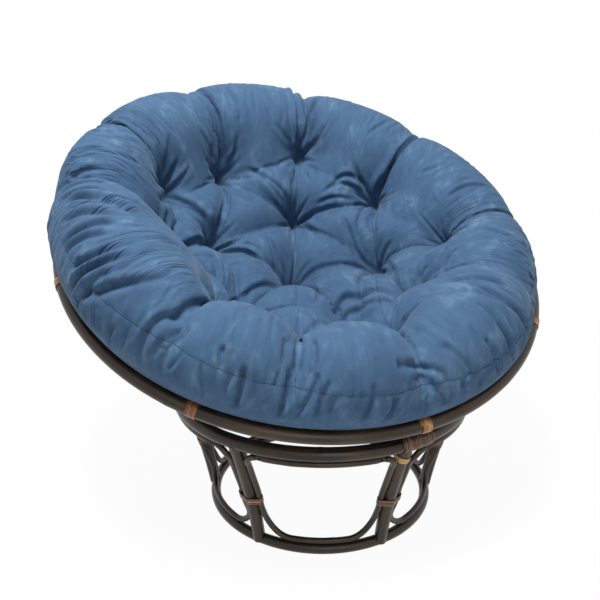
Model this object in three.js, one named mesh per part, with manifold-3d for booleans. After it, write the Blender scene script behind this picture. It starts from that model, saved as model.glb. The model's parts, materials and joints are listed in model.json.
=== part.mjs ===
// Papasan chair: a round rattan bowl lying loose on a cone-shaped rattan stand, and one round tufted pad.
// Millimetres, +Z up. The bowl faces -Y, and the origin is the bottom centre of the chair's bounding box.
import * as THREE from 'three'
import { mergeVertices } from 'three/addons/utils/BufferGeometryUtils.js'
import Module from 'manifold-3d'

const wasm = await Module()
wasm.setup()

const { degToRad } = THREE.MathUtils
const TURN = 2 * Math.PI

// Gap between pieces that touch, and between a peel wrap and the pole inside it
const SEAT_GAP = 0.3
const WRAP_GAP = 0.5
// Thickness of one turn of rattan peel
const PEEL_THICK = 1.4

// Bowl: rim pole, ribs, two hoops and the small hub ring, all on one sphere
const RIM_OUTER_DIAMETER = 1067
const RIM_POLE_DIAMETER = 26
const BOWL_DEPTH = 321
const RIB_DIAMETER = 18
const RIB_COUNT = 8
const HOOP_DIAMETER = 11
const HUB_RING_DIAMETER = 212
// The hoops' diameters as shares of the rim's
const LOWER_HOOP_SHARE = 0.5
const UPPER_HOOP_SHARE = 0.797
const RIM_BINDING_LENGTH = 27
const RIM_BINDING_TURNS = 4
const PEEL_GROOVE = 0.8

// How the bowl lies on the stand: the gap between its bound rim and the wrapped top ring at the front
const RIM_LIFT = 30.8
const RIB_START = degToRad(8)

// Stand: two pole rings, six posts, six bent panel loops and their wraps
const TOP_RING_DIAMETER = 623
const TOP_RING_POLE = 27
const TOP_RING_HEIGHT = 260
const BOTTOM_RING_DIAMETER = 478
const BOTTOM_RING_POLE = 22
const POST_COUNT = 6
const POST_DIAMETER = 25
const POST_FOOT_OUTSET = 3.5
const POST_FOOT_HEIGHT = 10
const POST_FLARE_SHARE = 0.3
const LOOP_DIAMETER = 12
const LOOP_UPPER_CORNER = 26
const LOOP_LOWER_CORNER = 50
const LOOP_BUTT_GAP = 0.6
const BAND_HEIGHT = 122
const BAND_WIDTH = 15
const BAND_THICK = 1.2
const SPLICE_BEFORE = 15
const SPLICE_AFTER = 58
const STRAP_WIDTH = 13
const STRAP_DROP = 27
const STAND_TURN = degToRad(-19)
// The posts beside which the top ring is spliced and strapped, counted round the stand
const SPLICE_POST = 1
const STRAPPED_POSTS = [1, 5]

// Pad: a stuffed disc draped in the bowl, with tufts, and a fat roll round its edge that laps over the rim
const PAD_ROLL_DIAMETER = 158
const PAD_ROLL_PAST_RIM = degToRad(1.97)
const PAD_SEAM_TURN = degToRad(64.7)
const PAD_SEAT_CROWN = 22
const PAD_ROLL_CROWN = 12
const PAD_ROLL_SWELL = 16
const PAD_ROLL_SWELL_SPREAD = 60
const PAD_TUFT_SINK = 36
const PAD_TUFT_SPREAD = 32
const PAD_VALLEY_DEPTH = 15
const PAD_VALLEY_SPREAD = 26
const PAD_CREASE_DEPTH = 18
const PAD_CREASE_SPREAD = 34
// The side of the roll from its seam down over the rim, to its foot on the hoops' sphere
const PAD_BELLY_UPPER = 70
const PAD_BELLY_LOWER = 60
const PAD_FOOT_BELOW_RIM = degToRad(2.03)
const PAD_RIM_GAP = 4.2
const PAD_TURN = degToRad(-16)
// How far the pad's edge has crept up one side of the bowl
const PAD_CREEP = degToRad(4.4)
const PAD_CREEP_SIDE = degToRad(181)
const PAD_CREEP_START_SHARE = 0.8
// The tufts' places in degrees: from the bowl's axis, and round the pad
const MIDDLE_TUFT_ANGLES = [3.6, 115]
const INNER_TUFT_ANGLES = [[31.5, 93], [32.2, 162.5], [31, 232], [31, 306], [29.3, 20.6]]
const OUTER_TUFT_ANGLES = [
  [54.7, 92.2], [50, 130.4], [54, 163], [44.6, 187], [49, 226],
  [51, 270], [49, 309], [40, -20], [52.6, 9.5], [46.5, 53],
]
// The outer tufts that a valley joins each inner tuft to
const VALLEY_COUNT = 3

// Facets
const POLE_SIDES = 10
const THIN_POLE_SIDES = 6
const RIB_SIDES = 8
const RIM_SEGMENTS = 64
const RING_SEGMENTS = 54
const HOOP_SEGMENTS = 48
const HUB_SEGMENTS = 32
const RIB_STEPS = 11
const POST_STEPS = 7
const LOWER_CORNER_STEPS = 6
const UPPER_CORNER_STEPS = 4
const STRAP_CORNERS = 24
const PAD_COLUMNS = 90
const PAD_SEAT_ROWS = 11
const PAD_ROLL_ROWS = 4
const PAD_BELLY_SHARES = [0.2, 0.4, 0.55, 0.68, 0.79, 0.9, 1]

const MATERIALS = {
  pole: new THREE.MeshStandardMaterial({ color: 0x3f2c20, roughness: 0.38, metalness: 0 }),
  thinPole: new THREE.MeshStandardMaterial({ color: 0x4a3527, roughness: 0.42, metalness: 0 }),
  peel: new THREE.MeshStandardMaterial({ color: 0x8a5228, roughness: 0.5, metalness: 0 }),
  palePeel: new THREE.MeshStandardMaterial({ color: 0xa8823c, roughness: 0.5, metalness: 0 }),
  suede: new THREE.MeshStandardMaterial({ color: 0x446a92, roughness: 0.95, metalness: 0 }),
}

// A run of points as a curve, with a step of the sweep at each point
class Spine extends THREE.Curve {
  constructor(points, across) {
    super()
    this.points = points
    this.across = across
  }

  getPoint(share, target = new THREE.Vector3()) {
    const place = share * (this.points.length - 1)
    const before = Math.min(Math.floor(place + 1e-6), this.points.length - 2)
    return target.lerpVectors(this.points[before], this.points[before + 1], place - before)
  }

  getPointAt(share, target) {
    return this.getPoint(share, target)
  }

  getTangentAt(share, target = new THREE.Vector3()) {
    const place = Math.round(share * (this.points.length - 1))
    const next = this.points[Math.min(place + 1, this.points.length - 1)]
    const last = this.points[Math.max(place - 1, 0)]
    return target.subVectors(next, last).normalize()
  }

  // Where a direction across a flat spine is given, the section's Y axis keeps to it
  computeFrenetFrames(steps, closed) {
    if (!this.across) {
      return super.computeFrenetFrames(steps, closed)
    }
    const tangents = Array.from({ length: steps + 1 }, (_, i) => this.getTangentAt(i / steps))
    const side = (tangent) => new THREE.Vector3().crossVectors(this.across, tangent).normalize()
    const normals = tangents.map(side)
    const binormals = tangents.map(() => this.across.clone())
    return { tangents, normals, binormals }
  }
}

function signedVolume(geometry) {
  const position = geometry.attributes.position
  const index = geometry.index
  const corners = [new THREE.Vector3(), new THREE.Vector3(), new THREE.Vector3()]
  let volume = 0
  for (let i = 0; i < index.count; i += 3) {
    corners.forEach((corner, j) => corner.fromBufferAttribute(position, index.getX(i + j)))
    volume += corners[0].dot(corners[1].cross(corners[2])) / 6
  }
  return volume
}

// Merges a geometry to shared vertices, with its faces pointing out
function solid(geometry) {
  geometry.deleteAttribute('normal')
  geometry.deleteAttribute('uv')
  const merged = mergeVertices(geometry)
  const index = merged.index.array
  const kept = []
  for (let i = 0; i < index.length; i += 3) {
    const [a, b, c] = index.slice(i, i + 3)
    if (a !== b && b !== c && c !== a) {
      kept.push(a, b, c)
    }
  }
  merged.setIndex(kept)
  if (signedVolume(merged) < 0) {
    merged.setIndex(kept.reverse())
  }
  return merged
}

function toManifold(geometry) {
  const vertProperties = new Float32Array(geometry.attributes.position.array)
  const triVerts = new Uint32Array(geometry.index.array)
  return new wasm.Manifold(new wasm.Mesh({ numProp: 3, vertProperties, triVerts }))
}

// Cuts each tool from a blank
function cut(blank, tools) {
  const result = tools.reduce((left, tool) => left.subtract(toManifold(tool)), toManifold(blank))
  const mesh = result.getMesh()
  const geometry = new THREE.BufferGeometry()
  geometry.setAttribute('position', new THREE.BufferAttribute(new Float32Array(mesh.vertProperties), 3))
  geometry.setIndex(new THREE.BufferAttribute(new Uint32Array(mesh.triVerts), 1))
  return geometry
}

// A round section with a flat facet at its foot
function sectionPoints(radius, sides) {
  const points = []
  for (let i = 0; i < sides; i += 1) {
    const angle = -Math.PI / 2 + (i + 0.5) * TURN / sides
    points.push(new THREE.Vector2(radius * Math.cos(angle), radius * Math.sin(angle)))
  }
  return points
}

// Corner radius of a polygon whose flats clear a given radius
function around(radius, sides) {
  return radius / Math.cos(Math.PI / sides)
}

// Half the width across a polygon's flats
function face(radius, sides) {
  return radius * Math.cos(Math.PI / sides)
}

function tube(points, radius, sides, across) {
  const shape = new THREE.Shape(sectionPoints(radius, sides))
  const options = { steps: points.length - 1, extrudePath: new Spine(points, across), bevelEnabled: false }
  return solid(new THREE.ExtrudeGeometry(shape, options))
}

// A closed profile turned round the Z axis
function revolve(profile, segments, start = 0) {
  const closed = [...profile, profile[0].clone()]
  return solid(new THREE.LatheGeometry(closed, segments, start).rotateX(Math.PI / 2))
}

function poleRing(ringRadius, poleRadius, sides, segments, start = 0) {
  const profile = sectionPoints(poleRadius, sides)
  profile.forEach((point) => point.setX(point.x + ringRadius))
  return revolve(profile, segments, start)
}

// Peel wound side by side round a pole, its axis along Z and its middle at the origin
function peelWrap(innerRadius, length, turns, sides) {
  const outerRadius = innerRadius + PEEL_THICK
  const profile = [new THREE.Vector2(innerRadius, -length / 2)]
  for (let turn = 0; turn < turns; turn += 1) {
    const start = -length / 2 + turn * length / turns
    profile.push(new THREE.Vector2(outerRadius - (turn > 0 ? PEEL_GROOVE : 0), start))
    profile.push(new THREE.Vector2(outerRadius, start + length / turns / 2))
  }
  profile.push(new THREE.Vector2(outerRadius, length / 2), new THREE.Vector2(innerRadius, length / 2))
  return revolve(profile, sides)
}

// A turning frame at a point: its Z axis along a direction and its X axis near another
function frameAt(origin, along, near) {
  const z = along.clone().normalize()
  const y = new THREE.Vector3().crossVectors(z, near).normalize()
  const x = new THREE.Vector3().crossVectors(y, z)
  return new THREE.Matrix4().makeBasis(x, y, z).setPosition(origin)
}

function piece(parent, name, geometry, material) {
  const mesh = new THREE.Mesh(geometry, material)
  mesh.name = name
  parent.add(mesh)
  return mesh
}

// A point at a radius and height, turned round the Z axis
function polar(radius, angle, height) {
  return new THREE.Vector3(radius * Math.cos(angle), radius * Math.sin(angle), height)
}

const rimPole = RIM_POLE_DIAMETER / 2
const rimRadius = RIM_OUTER_DIAMETER / 2 - rimPole
const ribRadius = RIB_DIAMETER / 2
const hoopRadius = HOOP_DIAMETER / 2
// The ribs' and the rim's centrelines lie on this sphere, and the ribs' outer sides on the next
const bowlSphere = (rimRadius ** 2 + BOWL_DEPTH ** 2) / (2 * BOWL_DEPTH)
const bowlOuter = bowlSphere + face(ribRadius, RIB_SIDES)
const hoopSphere = bowlSphere - ribRadius - SEAT_GAP - hoopRadius
const padOuter = hoopSphere - hoopRadius - SEAT_GAP
const rimDrop = bowlSphere - BOWL_DEPTH
const rimAngle = Math.asin(rimRadius / bowlSphere)
const bindingRadius = rimPole + WRAP_GAP
const lowerHoopRadius = rimRadius * LOWER_HOOP_SHARE
const upperHoopRadius = rimRadius * UPPER_HOOP_SHARE

// Height above the sphere's centre of a circle of the given radius on that sphere's lower half
function onSphere(sphereRadius, radius) {
  return -Math.sqrt(sphereRadius ** 2 - radius ** 2)
}

// A ring along the rim, turned so that the middle of a facet is at each rib
function rimRing(poleRadius) {
  const start = RIB_START + TURN / RIM_SEGMENTS / 2
  return poleRing(rimRadius, poleRadius, POLE_SIDES, RIM_SEGMENTS, start).translate(0, 0, -rimDrop)
}

function addRings(bowl) {
  piece(bowl, 'rim', rimRing(rimPole), MATERIALS.pole)
  const hubRadius = HUB_RING_DIAMETER / 2
  const hub = poleRing(hubRadius, ribRadius, RIB_SIDES, HUB_SEGMENTS)
  piece(bowl, 'hub_ring', hub.translate(0, 0, onSphere(bowlSphere, hubRadius)), MATERIALS.thinPole)
  const hoops = { lower_hoop: lowerHoopRadius, upper_hoop: upperHoopRadius }
  for (const [name, radius] of Object.entries(hoops)) {
    const hoop = poleRing(radius, hoopRadius, THIN_POLE_SIDES, HOOP_SEGMENTS)
    piece(bowl, name, hoop.translate(0, 0, onSphere(hoopSphere, radius)), MATERIALS.thinPole)
  }
}

// Curved ribs, coped to the hub ring at the foot and to the rim's bindings at the top
function addRibs(bowl) {
  const hubRadius = HUB_RING_DIAMETER / 2
  const hubCut = poleRing(hubRadius, ribRadius + around(SEAT_GAP, RIB_SIDES), RIB_SIDES, HUB_SEGMENTS)
  hubCut.translate(0, 0, onSphere(bowlSphere, hubRadius))
  const rimCut = rimRing(bindingRadius + PEEL_THICK + around(SEAT_GAP, POLE_SIDES))
  const footAngle = Math.asin(hubRadius / bowlSphere)
  const topAngle = rimAngle - rimPole / 2 / bowlSphere
  for (let i = 0; i < RIB_COUNT; i += 1) {
    const azimuth = RIB_START + i * TURN / RIB_COUNT
    const points = []
    for (let step = 0; step <= RIB_STEPS; step += 1) {
      const angle = footAngle + (topAngle - footAngle) * step / RIB_STEPS
      points.push(polar(bowlSphere * Math.sin(angle), azimuth, -bowlSphere * Math.cos(angle)))
    }
    const blank = tube(points, ribRadius, RIB_SIDES, polar(1, azimuth + Math.PI / 2, 0))
    piece(bowl, `rib_${i + 1}`, cut(blank, [hubCut, rimCut]), MATERIALS.thinPole)
  }
}

// Peel bindings on the rim, one over the head of each rib
function addRimBindings(bowl) {
  const facetRadius = rimRadius * Math.cos(Math.PI / RIM_SEGMENTS)
  for (let i = 0; i < RIB_COUNT; i += 1) {
    const azimuth = RIB_START + i * TURN / RIB_COUNT
    const wrap = peelWrap(bindingRadius, RIM_BINDING_LENGTH, RIM_BINDING_TURNS, POLE_SIDES)
    const along = polar(1, azimuth + Math.PI / 2, 0)
    wrap.applyMatrix4(frameAt(polar(facetRadius, azimuth, -rimDrop), along, polar(0, 0, 1)))
    piece(bowl, `rim_binding_${i + 1}`, wrap, MATERIALS.peel)
  }
}

const rollRadius = PAD_ROLL_DIAMETER / 2
const rollSphere = padOuter - rollRadius
const seatSphere = padOuter - PAD_ROLL_DIAMETER
const rollCentre = rimAngle + PAD_ROLL_PAST_RIM
const creepStart = rollCentre * PAD_CREEP_START_SHARE
// Lengths along the pad's top from its middle: to the roll, to the roll's seam, and to the pad's foot
const seatRun = seatSphere * rollCentre
const seamRun = seatRun + rollRadius * (Math.PI - PAD_SEAM_TURN)
const rimClear = bindingRadius + PEEL_THICK + PAD_RIM_GAP

// A tuft's place on the pad laid flat
function laidFlat([angle, azimuth]) {
  const reach = degToRad(angle) * seatSphere
  return new THREE.Vector2(reach * Math.cos(degToRad(azimuth)), reach * Math.sin(degToRad(azimuth)))
}

const middleTuft = laidFlat(MIDDLE_TUFT_ANGLES)
const innerTufts = INNER_TUFT_ANGLES.map(laidFlat)
const outerTufts = OUTER_TUFT_ANGLES.map(laidFlat)
const tufts = [middleTuft, ...innerTufts, ...outerTufts]
function nearestOuter(tuft) {
  const distance = (other) => other.distanceTo(tuft)
  return outerTufts.toSorted((one, other) => distance(one) - distance(other)).slice(0, VALLEY_COUNT)
}

const valleys = [
  ...innerTufts.map((tuft) => [middleTuft, tuft]),
  ...innerTufts.map((tuft, i) => [tuft, innerTufts[(i + 1) % innerTufts.length]]),
  ...outerTufts.map((tuft, i) => [tuft, outerTufts[(i + 1) % outerTufts.length]]),
  ...innerTufts.flatMap((tuft) => nearestOuter(tuft).map((outer) => [tuft, outer])),
]
const creases = outerTufts.map((tuft) => [tuft, tuft.clone().setLength(seamRun)])

function nearestLine(place, lines) {
  const distances = lines.map(([from, to]) => {
    const along = to.clone().sub(from)
    const share = THREE.MathUtils.clamp(place.clone().sub(from).dot(along) / along.lengthSq(), 0, 1)
    return place.distanceTo(from.clone().addScaledVector(along, share))
  })
  return Math.min(...distances)
}

function bell(distance, spread) {
  return Math.exp(-((distance / spread) ** 2))
}

// How far the stuffing lifts the pad's top above its even form, at a length from its middle and an azimuth
function stuffing(run, azimuth) {
  const { smoothstep } = THREE.MathUtils
  const place = new THREE.Vector2(run * Math.cos(azimuth), run * Math.sin(azimuth))
  const pit = Math.exp(-Math.min(...tufts.map((tuft) => tuft.distanceTo(place))) / PAD_TUFT_SPREAD)
  const inside = smoothstep(seatRun - run, rollRadius / 4, 2 * rollRadius)
  const fade = smoothstep(seamRun - run, 0, rollRadius)
  const swell = PAD_ROLL_SWELL * bell(run - (seatRun - rollRadius / 2), PAD_ROLL_SWELL_SPREAD)
  const crown = (PAD_ROLL_CROWN + (PAD_SEAT_CROWN - PAD_ROLL_CROWN) * inside + swell) * fade
  const valley = PAD_VALLEY_DEPTH * bell(nearestLine(place, valleys), PAD_VALLEY_SPREAD)
  const crease = PAD_CREASE_DEPTH * bell(nearestLine(place, creases), PAD_CREASE_SPREAD) * fade
  return (crown - valley - crease) * (1 - pit) - PAD_TUFT_SINK * pit
}

// Directions away from the bowl's centre and round it, in the plane of radius and height
function directionsAt(angle) {
  return {
    away: new THREE.Vector2(Math.sin(angle), -Math.cos(angle)),
    round: new THREE.Vector2(Math.cos(angle), Math.sin(angle)),
  }
}

// How far the pad has crept up the bowl at an azimuth
function creep(angle, azimuth) {
  const share = (angle - creepStart) / (rollCentre - creepStart)
  return PAD_CREEP * Math.cos(azimuth - PAD_CREEP_SIDE) * THREE.MathUtils.clamp(share, 0, 1)
}

// A point on the seat or the roll, as radius and height
function topPoint(run, azimuth) {
  const angle = Math.min(run, seatRun) / seatSphere
  const { away, round } = directionsAt(angle + creep(angle, azimuth))
  const turn = Math.PI - Math.max(0, run - seatRun) / rollRadius
  const out = away.clone().multiplyScalar(Math.cos(turn)).addScaledVector(round, Math.sin(turn))
  return away.multiplyScalar(rollSphere).addScaledVector(out, rollRadius + stuffing(run, azimuth))
}

// A point on the side of the roll, at a share of the way from its seam to its foot, as radius and height
function bellyPoint(share, azimuth) {
  const { away, round } = directionsAt(rollCentre + creep(rollCentre, azimuth))
  const toSeam = new THREE.Vector2()
  toSeam.addScaledVector(away, Math.cos(PAD_SEAM_TURN)).addScaledVector(round, Math.sin(PAD_SEAM_TURN))
  const pastSeam = new THREE.Vector2()
  pastSeam.addScaledVector(away, Math.sin(PAD_SEAM_TURN)).addScaledVector(round, -Math.cos(PAD_SEAM_TURN))
  const seam = away.clone().multiplyScalar(rollSphere).addScaledVector(toSeam, rollRadius)
  const upper = seam.clone().addScaledVector(pastSeam, PAD_BELLY_UPPER)
  const end = directionsAt(rimAngle - PAD_FOOT_BELOW_RIM)
  const foot = end.away.clone().multiplyScalar(padOuter)
  const lower = foot.clone().addScaledVector(end.round, PAD_BELLY_LOWER)
  const place = new THREE.CubicBezierCurve(seam, upper, lower, foot).getPoint(share)
  const rim = new THREE.Vector2(rimRadius, -rimDrop)
  const off = place.clone().sub(rim)
  return off.length() < rimClear ? rim.add(off.setLength(rimClear)) : place
}

// The pad as rows of points from the middle of its top, over the roll, to the middle of its underside
function addPad(bowl) {
  const turned = (point, azimuth) => polar(point.x, azimuth, point.y)
  const underRow = (hoop) => {
    const radius = hoop * padOuter / hoopSphere
    return (azimuth) => polar(radius, azimuth, onSphere(padOuter, radius))
  }
  const rows = []
  for (let i = 1; i <= PAD_SEAT_ROWS; i += 1) {
    rows.push((azimuth) => turned(topPoint(seatRun * i / PAD_SEAT_ROWS, azimuth), azimuth))
  }
  for (let i = 1; i <= PAD_ROLL_ROWS; i += 1) {
    const run = seatRun + (seamRun - seatRun) * i / PAD_ROLL_ROWS
    rows.push((azimuth) => turned(topPoint(run, azimuth), azimuth))
  }
  for (const share of PAD_BELLY_SHARES) {
    rows.push((azimuth) => turned(bellyPoint(share, azimuth), azimuth))
  }
  rows.push(underRow(upperHoopRadius), underRow(lowerHoopRadius))
  const points = [turned(topPoint(0, 0), 0)]
  for (const row of rows) {
    for (let i = 0; i < PAD_COLUMNS; i += 1) {
      points.push(row(i * TURN / PAD_COLUMNS))
    }
  }
  points.push(polar(0, 0, -padOuter))
  const index = []
  const at = (row, column) => 1 + row * PAD_COLUMNS + column % PAD_COLUMNS
  for (let column = 0; column < PAD_COLUMNS; column += 1) {
    index.push(0, at(0, column), at(0, column + 1))
    for (let row = 0; row < rows.length - 1; row += 1) {
      index.push(at(row, column), at(row + 1, column), at(row + 1, column + 1))
      index.push(at(row, column), at(row + 1, column + 1), at(row, column + 1))
    }
    index.push(at(rows.length - 1, column), points.length - 1, at(rows.length - 1, column + 1))
  }
  const geometry = new THREE.BufferGeometry().setFromPoints(points).setIndex(index)
  const pad = piece(bowl, 'cushion', solid(geometry), MATERIALS.suede)
  pad.rotation.z = PAD_TURN
}

const topRingRadius = TOP_RING_DIAMETER / 2
const topRingPole = TOP_RING_POLE / 2
const bottomRingRadius = BOTTOM_RING_DIAMETER / 2
const bottomRingPole = BOTTOM_RING_POLE / 2
const bottomRingHeight = face(bottomRingPole, RIB_SIDES)
const postRadius = POST_DIAMETER / 2
const loopRadius = LOOP_DIAMETER / 2
const loopOffset = postRadius + loopRadius + SEAT_GAP
const postStep = TURN / POST_COUNT
const spliceInner = topRingPole + WRAP_GAP
const spliceOuter = spliceInner + PEEL_THICK

// A post's centreline in the plane of its radius and height
function postCurve() {
  const foot = new THREE.Vector2(bottomRingRadius + POST_FOOT_OUTSET, POST_FOOT_HEIGHT)
  const head = new THREE.Vector2(topRingRadius, TOP_RING_HEIGHT)
  const waist = new THREE.Vector2(foot.x + (head.x - foot.x) * POST_FLARE_SHARE, (foot.y + head.y) / 2)
  return new THREE.QuadraticBezierCurve(foot, waist, head)
}

const post = postCurve()

// The share along a post at which it passes a height; its height grows evenly along the curve
function postShare(height) {
  return (height - POST_FOOT_HEIGHT) / (TOP_RING_HEIGHT - POST_FOOT_HEIGHT)
}

function postAzimuth(i) {
  return -Math.PI / 2 + (i - 0.5) * postStep
}

function postPoint(share, azimuth) {
  const place = post.getPoint(share)
  return polar(place.x, azimuth, place.y)
}

function addStandRings(stand) {
  const top = poleRing(topRingRadius, topRingPole, POLE_SIDES, RING_SEGMENTS)
  piece(stand, 'top_ring', top.translate(0, 0, TOP_RING_HEIGHT), MATERIALS.pole)
  const bottom = poleRing(bottomRingRadius, bottomRingPole, RIB_SIDES, RING_SEGMENTS)
  piece(stand, 'bottom_ring', bottom.translate(0, 0, bottomRingHeight), MATERIALS.pole)
}

// Posts coped under the top ring and notched over the bottom ring
function addPosts(stand) {
  const ringCut = (radius, pole, sides) => {
    return poleRing(radius, pole + around(SEAT_GAP, sides), sides, RING_SEGMENTS)
  }
  const footCut = ringCut(bottomRingRadius, bottomRingPole, RIB_SIDES).translate(0, 0, bottomRingHeight)
  const headCut = ringCut(topRingRadius, topRingPole, POLE_SIDES).translate(0, 0, TOP_RING_HEIGHT)
  const spliceCut = ringCut(topRingRadius, spliceOuter, POLE_SIDES).translate(0, 0, TOP_RING_HEIGHT)
  for (let i = 0; i < POST_COUNT; i += 1) {
    const points = []
    for (let step = 0; step <= POST_STEPS; step += 1) {
      points.push(postPoint(step / POST_STEPS, postAzimuth(i)))
    }
    const blank = tube(points, postRadius, POLE_SIDES, polar(1, postAzimuth(i) + Math.PI / 2, 0))
    const tools = [footCut, i === SPLICE_POST ? spliceCut : headCut]
    piece(stand, `post_${i + 1}`, cut(blank, tools), MATERIALS.pole)
  }
}

// A panel loop's centreline: a rounded trapezoid between two posts, bent round the stand
function loopPoints(crownDrop) {
  const crownHeight = TOP_RING_HEIGHT - topRingPole - loopRadius - SEAT_GAP - crownDrop
  const sillHeight = bottomRingHeight + bottomRingPole + loopRadius + SEAT_GAP
  const radiusAt = (height) => {
    const own = post.getPoint(postShare(height)).x
    const lift = THREE.MathUtils.smoothstep(height, BAND_HEIGHT + BAND_WIDTH, crownHeight)
    const sink = 1 - THREE.MathUtils.smoothstep(height, sillHeight, BAND_HEIGHT - BAND_WIDTH)
    return own + (topRingRadius - own) * lift + (bottomRingRadius - own) * sink
  }
  const sideAngle = (height) => postStep / 2 - Math.asin(loopOffset / radiusAt(height))
  const outline = []
  const run = (across, height) => outline.push({ across, height })
  const corner = (side, radius, height, direction, from, to, steps) => {
    const width = radius / (sideAngle(height) * radiusAt(height))
    for (let i = 0; i <= steps; i += 1) {
      const turn = degToRad(from + (to - from) * i / steps)
      run(side * (1 - width + width * Math.cos(turn)), height - direction * radius * (1 - Math.sin(turn)))
    }
  }
  const buttShare = LOOP_BUTT_GAP / 2 / (sideAngle(sillHeight) * bottomRingRadius)
  const sillShare = 1 - LOOP_LOWER_CORNER / (sideAngle(sillHeight) * bottomRingRadius)
  run(buttShare, sillHeight)
  run(sillShare / 2, sillHeight)
  corner(1, LOOP_LOWER_CORNER, sillHeight, -1, 90, 0, LOWER_CORNER_STEPS)
  run(1, BAND_HEIGHT - BAND_WIDTH)
  run(1, BAND_HEIGHT + BAND_WIDTH)
  corner(1, LOOP_UPPER_CORNER, crownHeight, 1, 0, 90, UPPER_CORNER_STEPS)
  for (const share of [0.5, 0.25, 0, -0.25, -0.5]) {
    run(share, crownHeight)
  }
  corner(-1, LOOP_UPPER_CORNER, crownHeight, 1, 90, 0, UPPER_CORNER_STEPS)
  run(-1, BAND_HEIGHT + BAND_WIDTH)
  run(-1, BAND_HEIGHT - BAND_WIDTH)
  corner(-1, LOOP_LOWER_CORNER, sillHeight, -1, 0, 90, LOWER_CORNER_STEPS)
  run(-sillShare / 2, sillHeight)
  run(-buttShare, sillHeight)
  return outline.map(({ across, height }) => {
    return polar(radiusAt(height), across * sideAngle(height), height)
  })
}

function addLoops(stand) {
  for (let i = 0; i < POST_COUNT; i += 1) {
    const crownDrop = i === SPLICE_POST ? spliceOuter - topRingPole : 0
    const loop = tube(loopPoints(crownDrop), loopRadius, THIN_POLE_SIDES)
    const mesh = piece(stand, `panel_loop_${i + 1}`, loop, MATERIALS.thinPole)
    mesh.rotation.z = postAzimuth(i) + postStep / 2
  }
}

// The outline of a strap pulled tight round a row of poles
function strapOutline(poles, allowance) {
  const points = []
  for (let i = 0; i < STRAP_CORNERS; i += 1) {
    const direction = new THREE.Vector2(1, 0).rotateAround(new THREE.Vector2(), i * TURN / STRAP_CORNERS)
    const reach = ({ x, radius }) => x * direction.x + radius
    const farthest = poles.reduce((best, pole) => (reach(pole) > reach(best) ? pole : best))
    points.push(direction.multiplyScalar(farthest.radius + allowance).add(new THREE.Vector2(farthest.x, 0)))
  }
  return points
}

function strap(poles, width) {
  const shape = new THREE.Shape(strapOutline(poles, WRAP_GAP + BAND_THICK))
  shape.holes.push(new THREE.Path(strapOutline(poles, WRAP_GAP)))
  const sleeve = new THREE.ExtrudeGeometry(shape, { depth: width, bevelEnabled: false })
  return solid(sleeve.translate(0, 0, -width / 2))
}

// A frame on a post's centreline at a height, with its X axis across the post
function postFrame(height, azimuth) {
  const share = postShare(height)
  const tangent = post.getTangent(share)
  const along = polar(tangent.x, azimuth, tangent.y)
  return frameAt(postPoint(share, azimuth), along, polar(1, azimuth + Math.PI / 2, 0))
}

// Bands that tie each post to the loops on both sides, and the straps under the top ring
function addBands(stand) {
  const bundle = [
    { x: -loopOffset, radius: loopRadius },
    { x: 0, radius: postRadius },
    { x: loopOffset, radius: loopRadius },
  ]
  for (let i = 0; i < POST_COUNT; i += 1) {
    const band = strap(bundle, BAND_WIDTH).applyMatrix4(postFrame(BAND_HEIGHT, postAzimuth(i)))
    piece(stand, `post_band_${i + 1}`, band, MATERIALS.peel)
  }
  STRAPPED_POSTS.forEach((i, order) => {
    const frame = postFrame(TOP_RING_HEIGHT - STRAP_DROP, postAzimuth(i))
    const loopStrap = strap([{ x: 0, radius: postRadius }], STRAP_WIDTH).applyMatrix4(frame)
    piece(stand, `post_strap_${order + 1}`, loopStrap, MATERIALS.palePeel)
  })
}

// The peel wrap over the top ring's splice, bent with the ring
function addSplice(stand) {
  const sleeve = (pole) => {
    const start = postAzimuth(SPLICE_POST) - SPLICE_BEFORE / topRingRadius
    const end = postAzimuth(SPLICE_POST) + SPLICE_AFTER / topRingRadius
    const steps = Math.ceil((end - start) * RING_SEGMENTS / TURN)
    const points = []
    for (let step = 0; step <= steps; step += 1) {
      points.push(polar(topRingRadius, start + (end - start) * step / steps, TOP_RING_HEIGHT))
    }
    return tube(points, pole, POLE_SIDES, polar(0, 0, 1))
  }
  const hole = poleRing(topRingRadius, spliceInner, POLE_SIDES, RING_SEGMENTS)
  hole.translate(0, 0, TOP_RING_HEIGHT)
  piece(stand, 'splice_wrap', cut(sleeve(spliceOuter), [hole]), MATERIALS.peel)
}

function buildStand() {
  const stand = new THREE.Group()
  stand.rotation.z = STAND_TURN
  addStandRings(stand)
  addPosts(stand)
  addLoops(stand)
  addBands(stand)
  addSplice(stand)
  return stand
}

// The bowl is built round its sphere's centre. A rib lies on the wrapped stretch of the top ring, and the
// bowl is tilted until its rim is near that ring.
function buildBowl() {
  const bowl = new THREE.Group()
  const reach = bowlOuter + spliceOuter + SEAT_GAP
  const apart = bindingRadius + PEEL_THICK + spliceOuter + RIM_LIFT
  const between = Math.acos((bowlSphere ** 2 + reach ** 2 - apart ** 2) / (2 * bowlSphere * reach))
  bowl.position.z = TOP_RING_HEIGHT + Math.sqrt(reach ** 2 - topRingRadius ** 2)
  bowl.rotation.x = rimAngle - Math.asin(topRingRadius / reach) - between
  addRings(bowl)
  addRibs(bowl)
  addRimBindings(bowl)
  addPad(bowl)
  return bowl
}

const chair = new THREE.Group()
chair.add(buildStand(), buildBowl())
chair.updateMatrixWorld(true)
const box = new THREE.Box3().setFromObject(chair, true)
const middle = box.getCenter(new THREE.Vector3())
chair.position.set(-middle.x, -middle.y, -box.min.z)

export default chair
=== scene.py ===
import json
import math
import bpy
import numpy as np
from mathutils import Matrix, Vector


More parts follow.
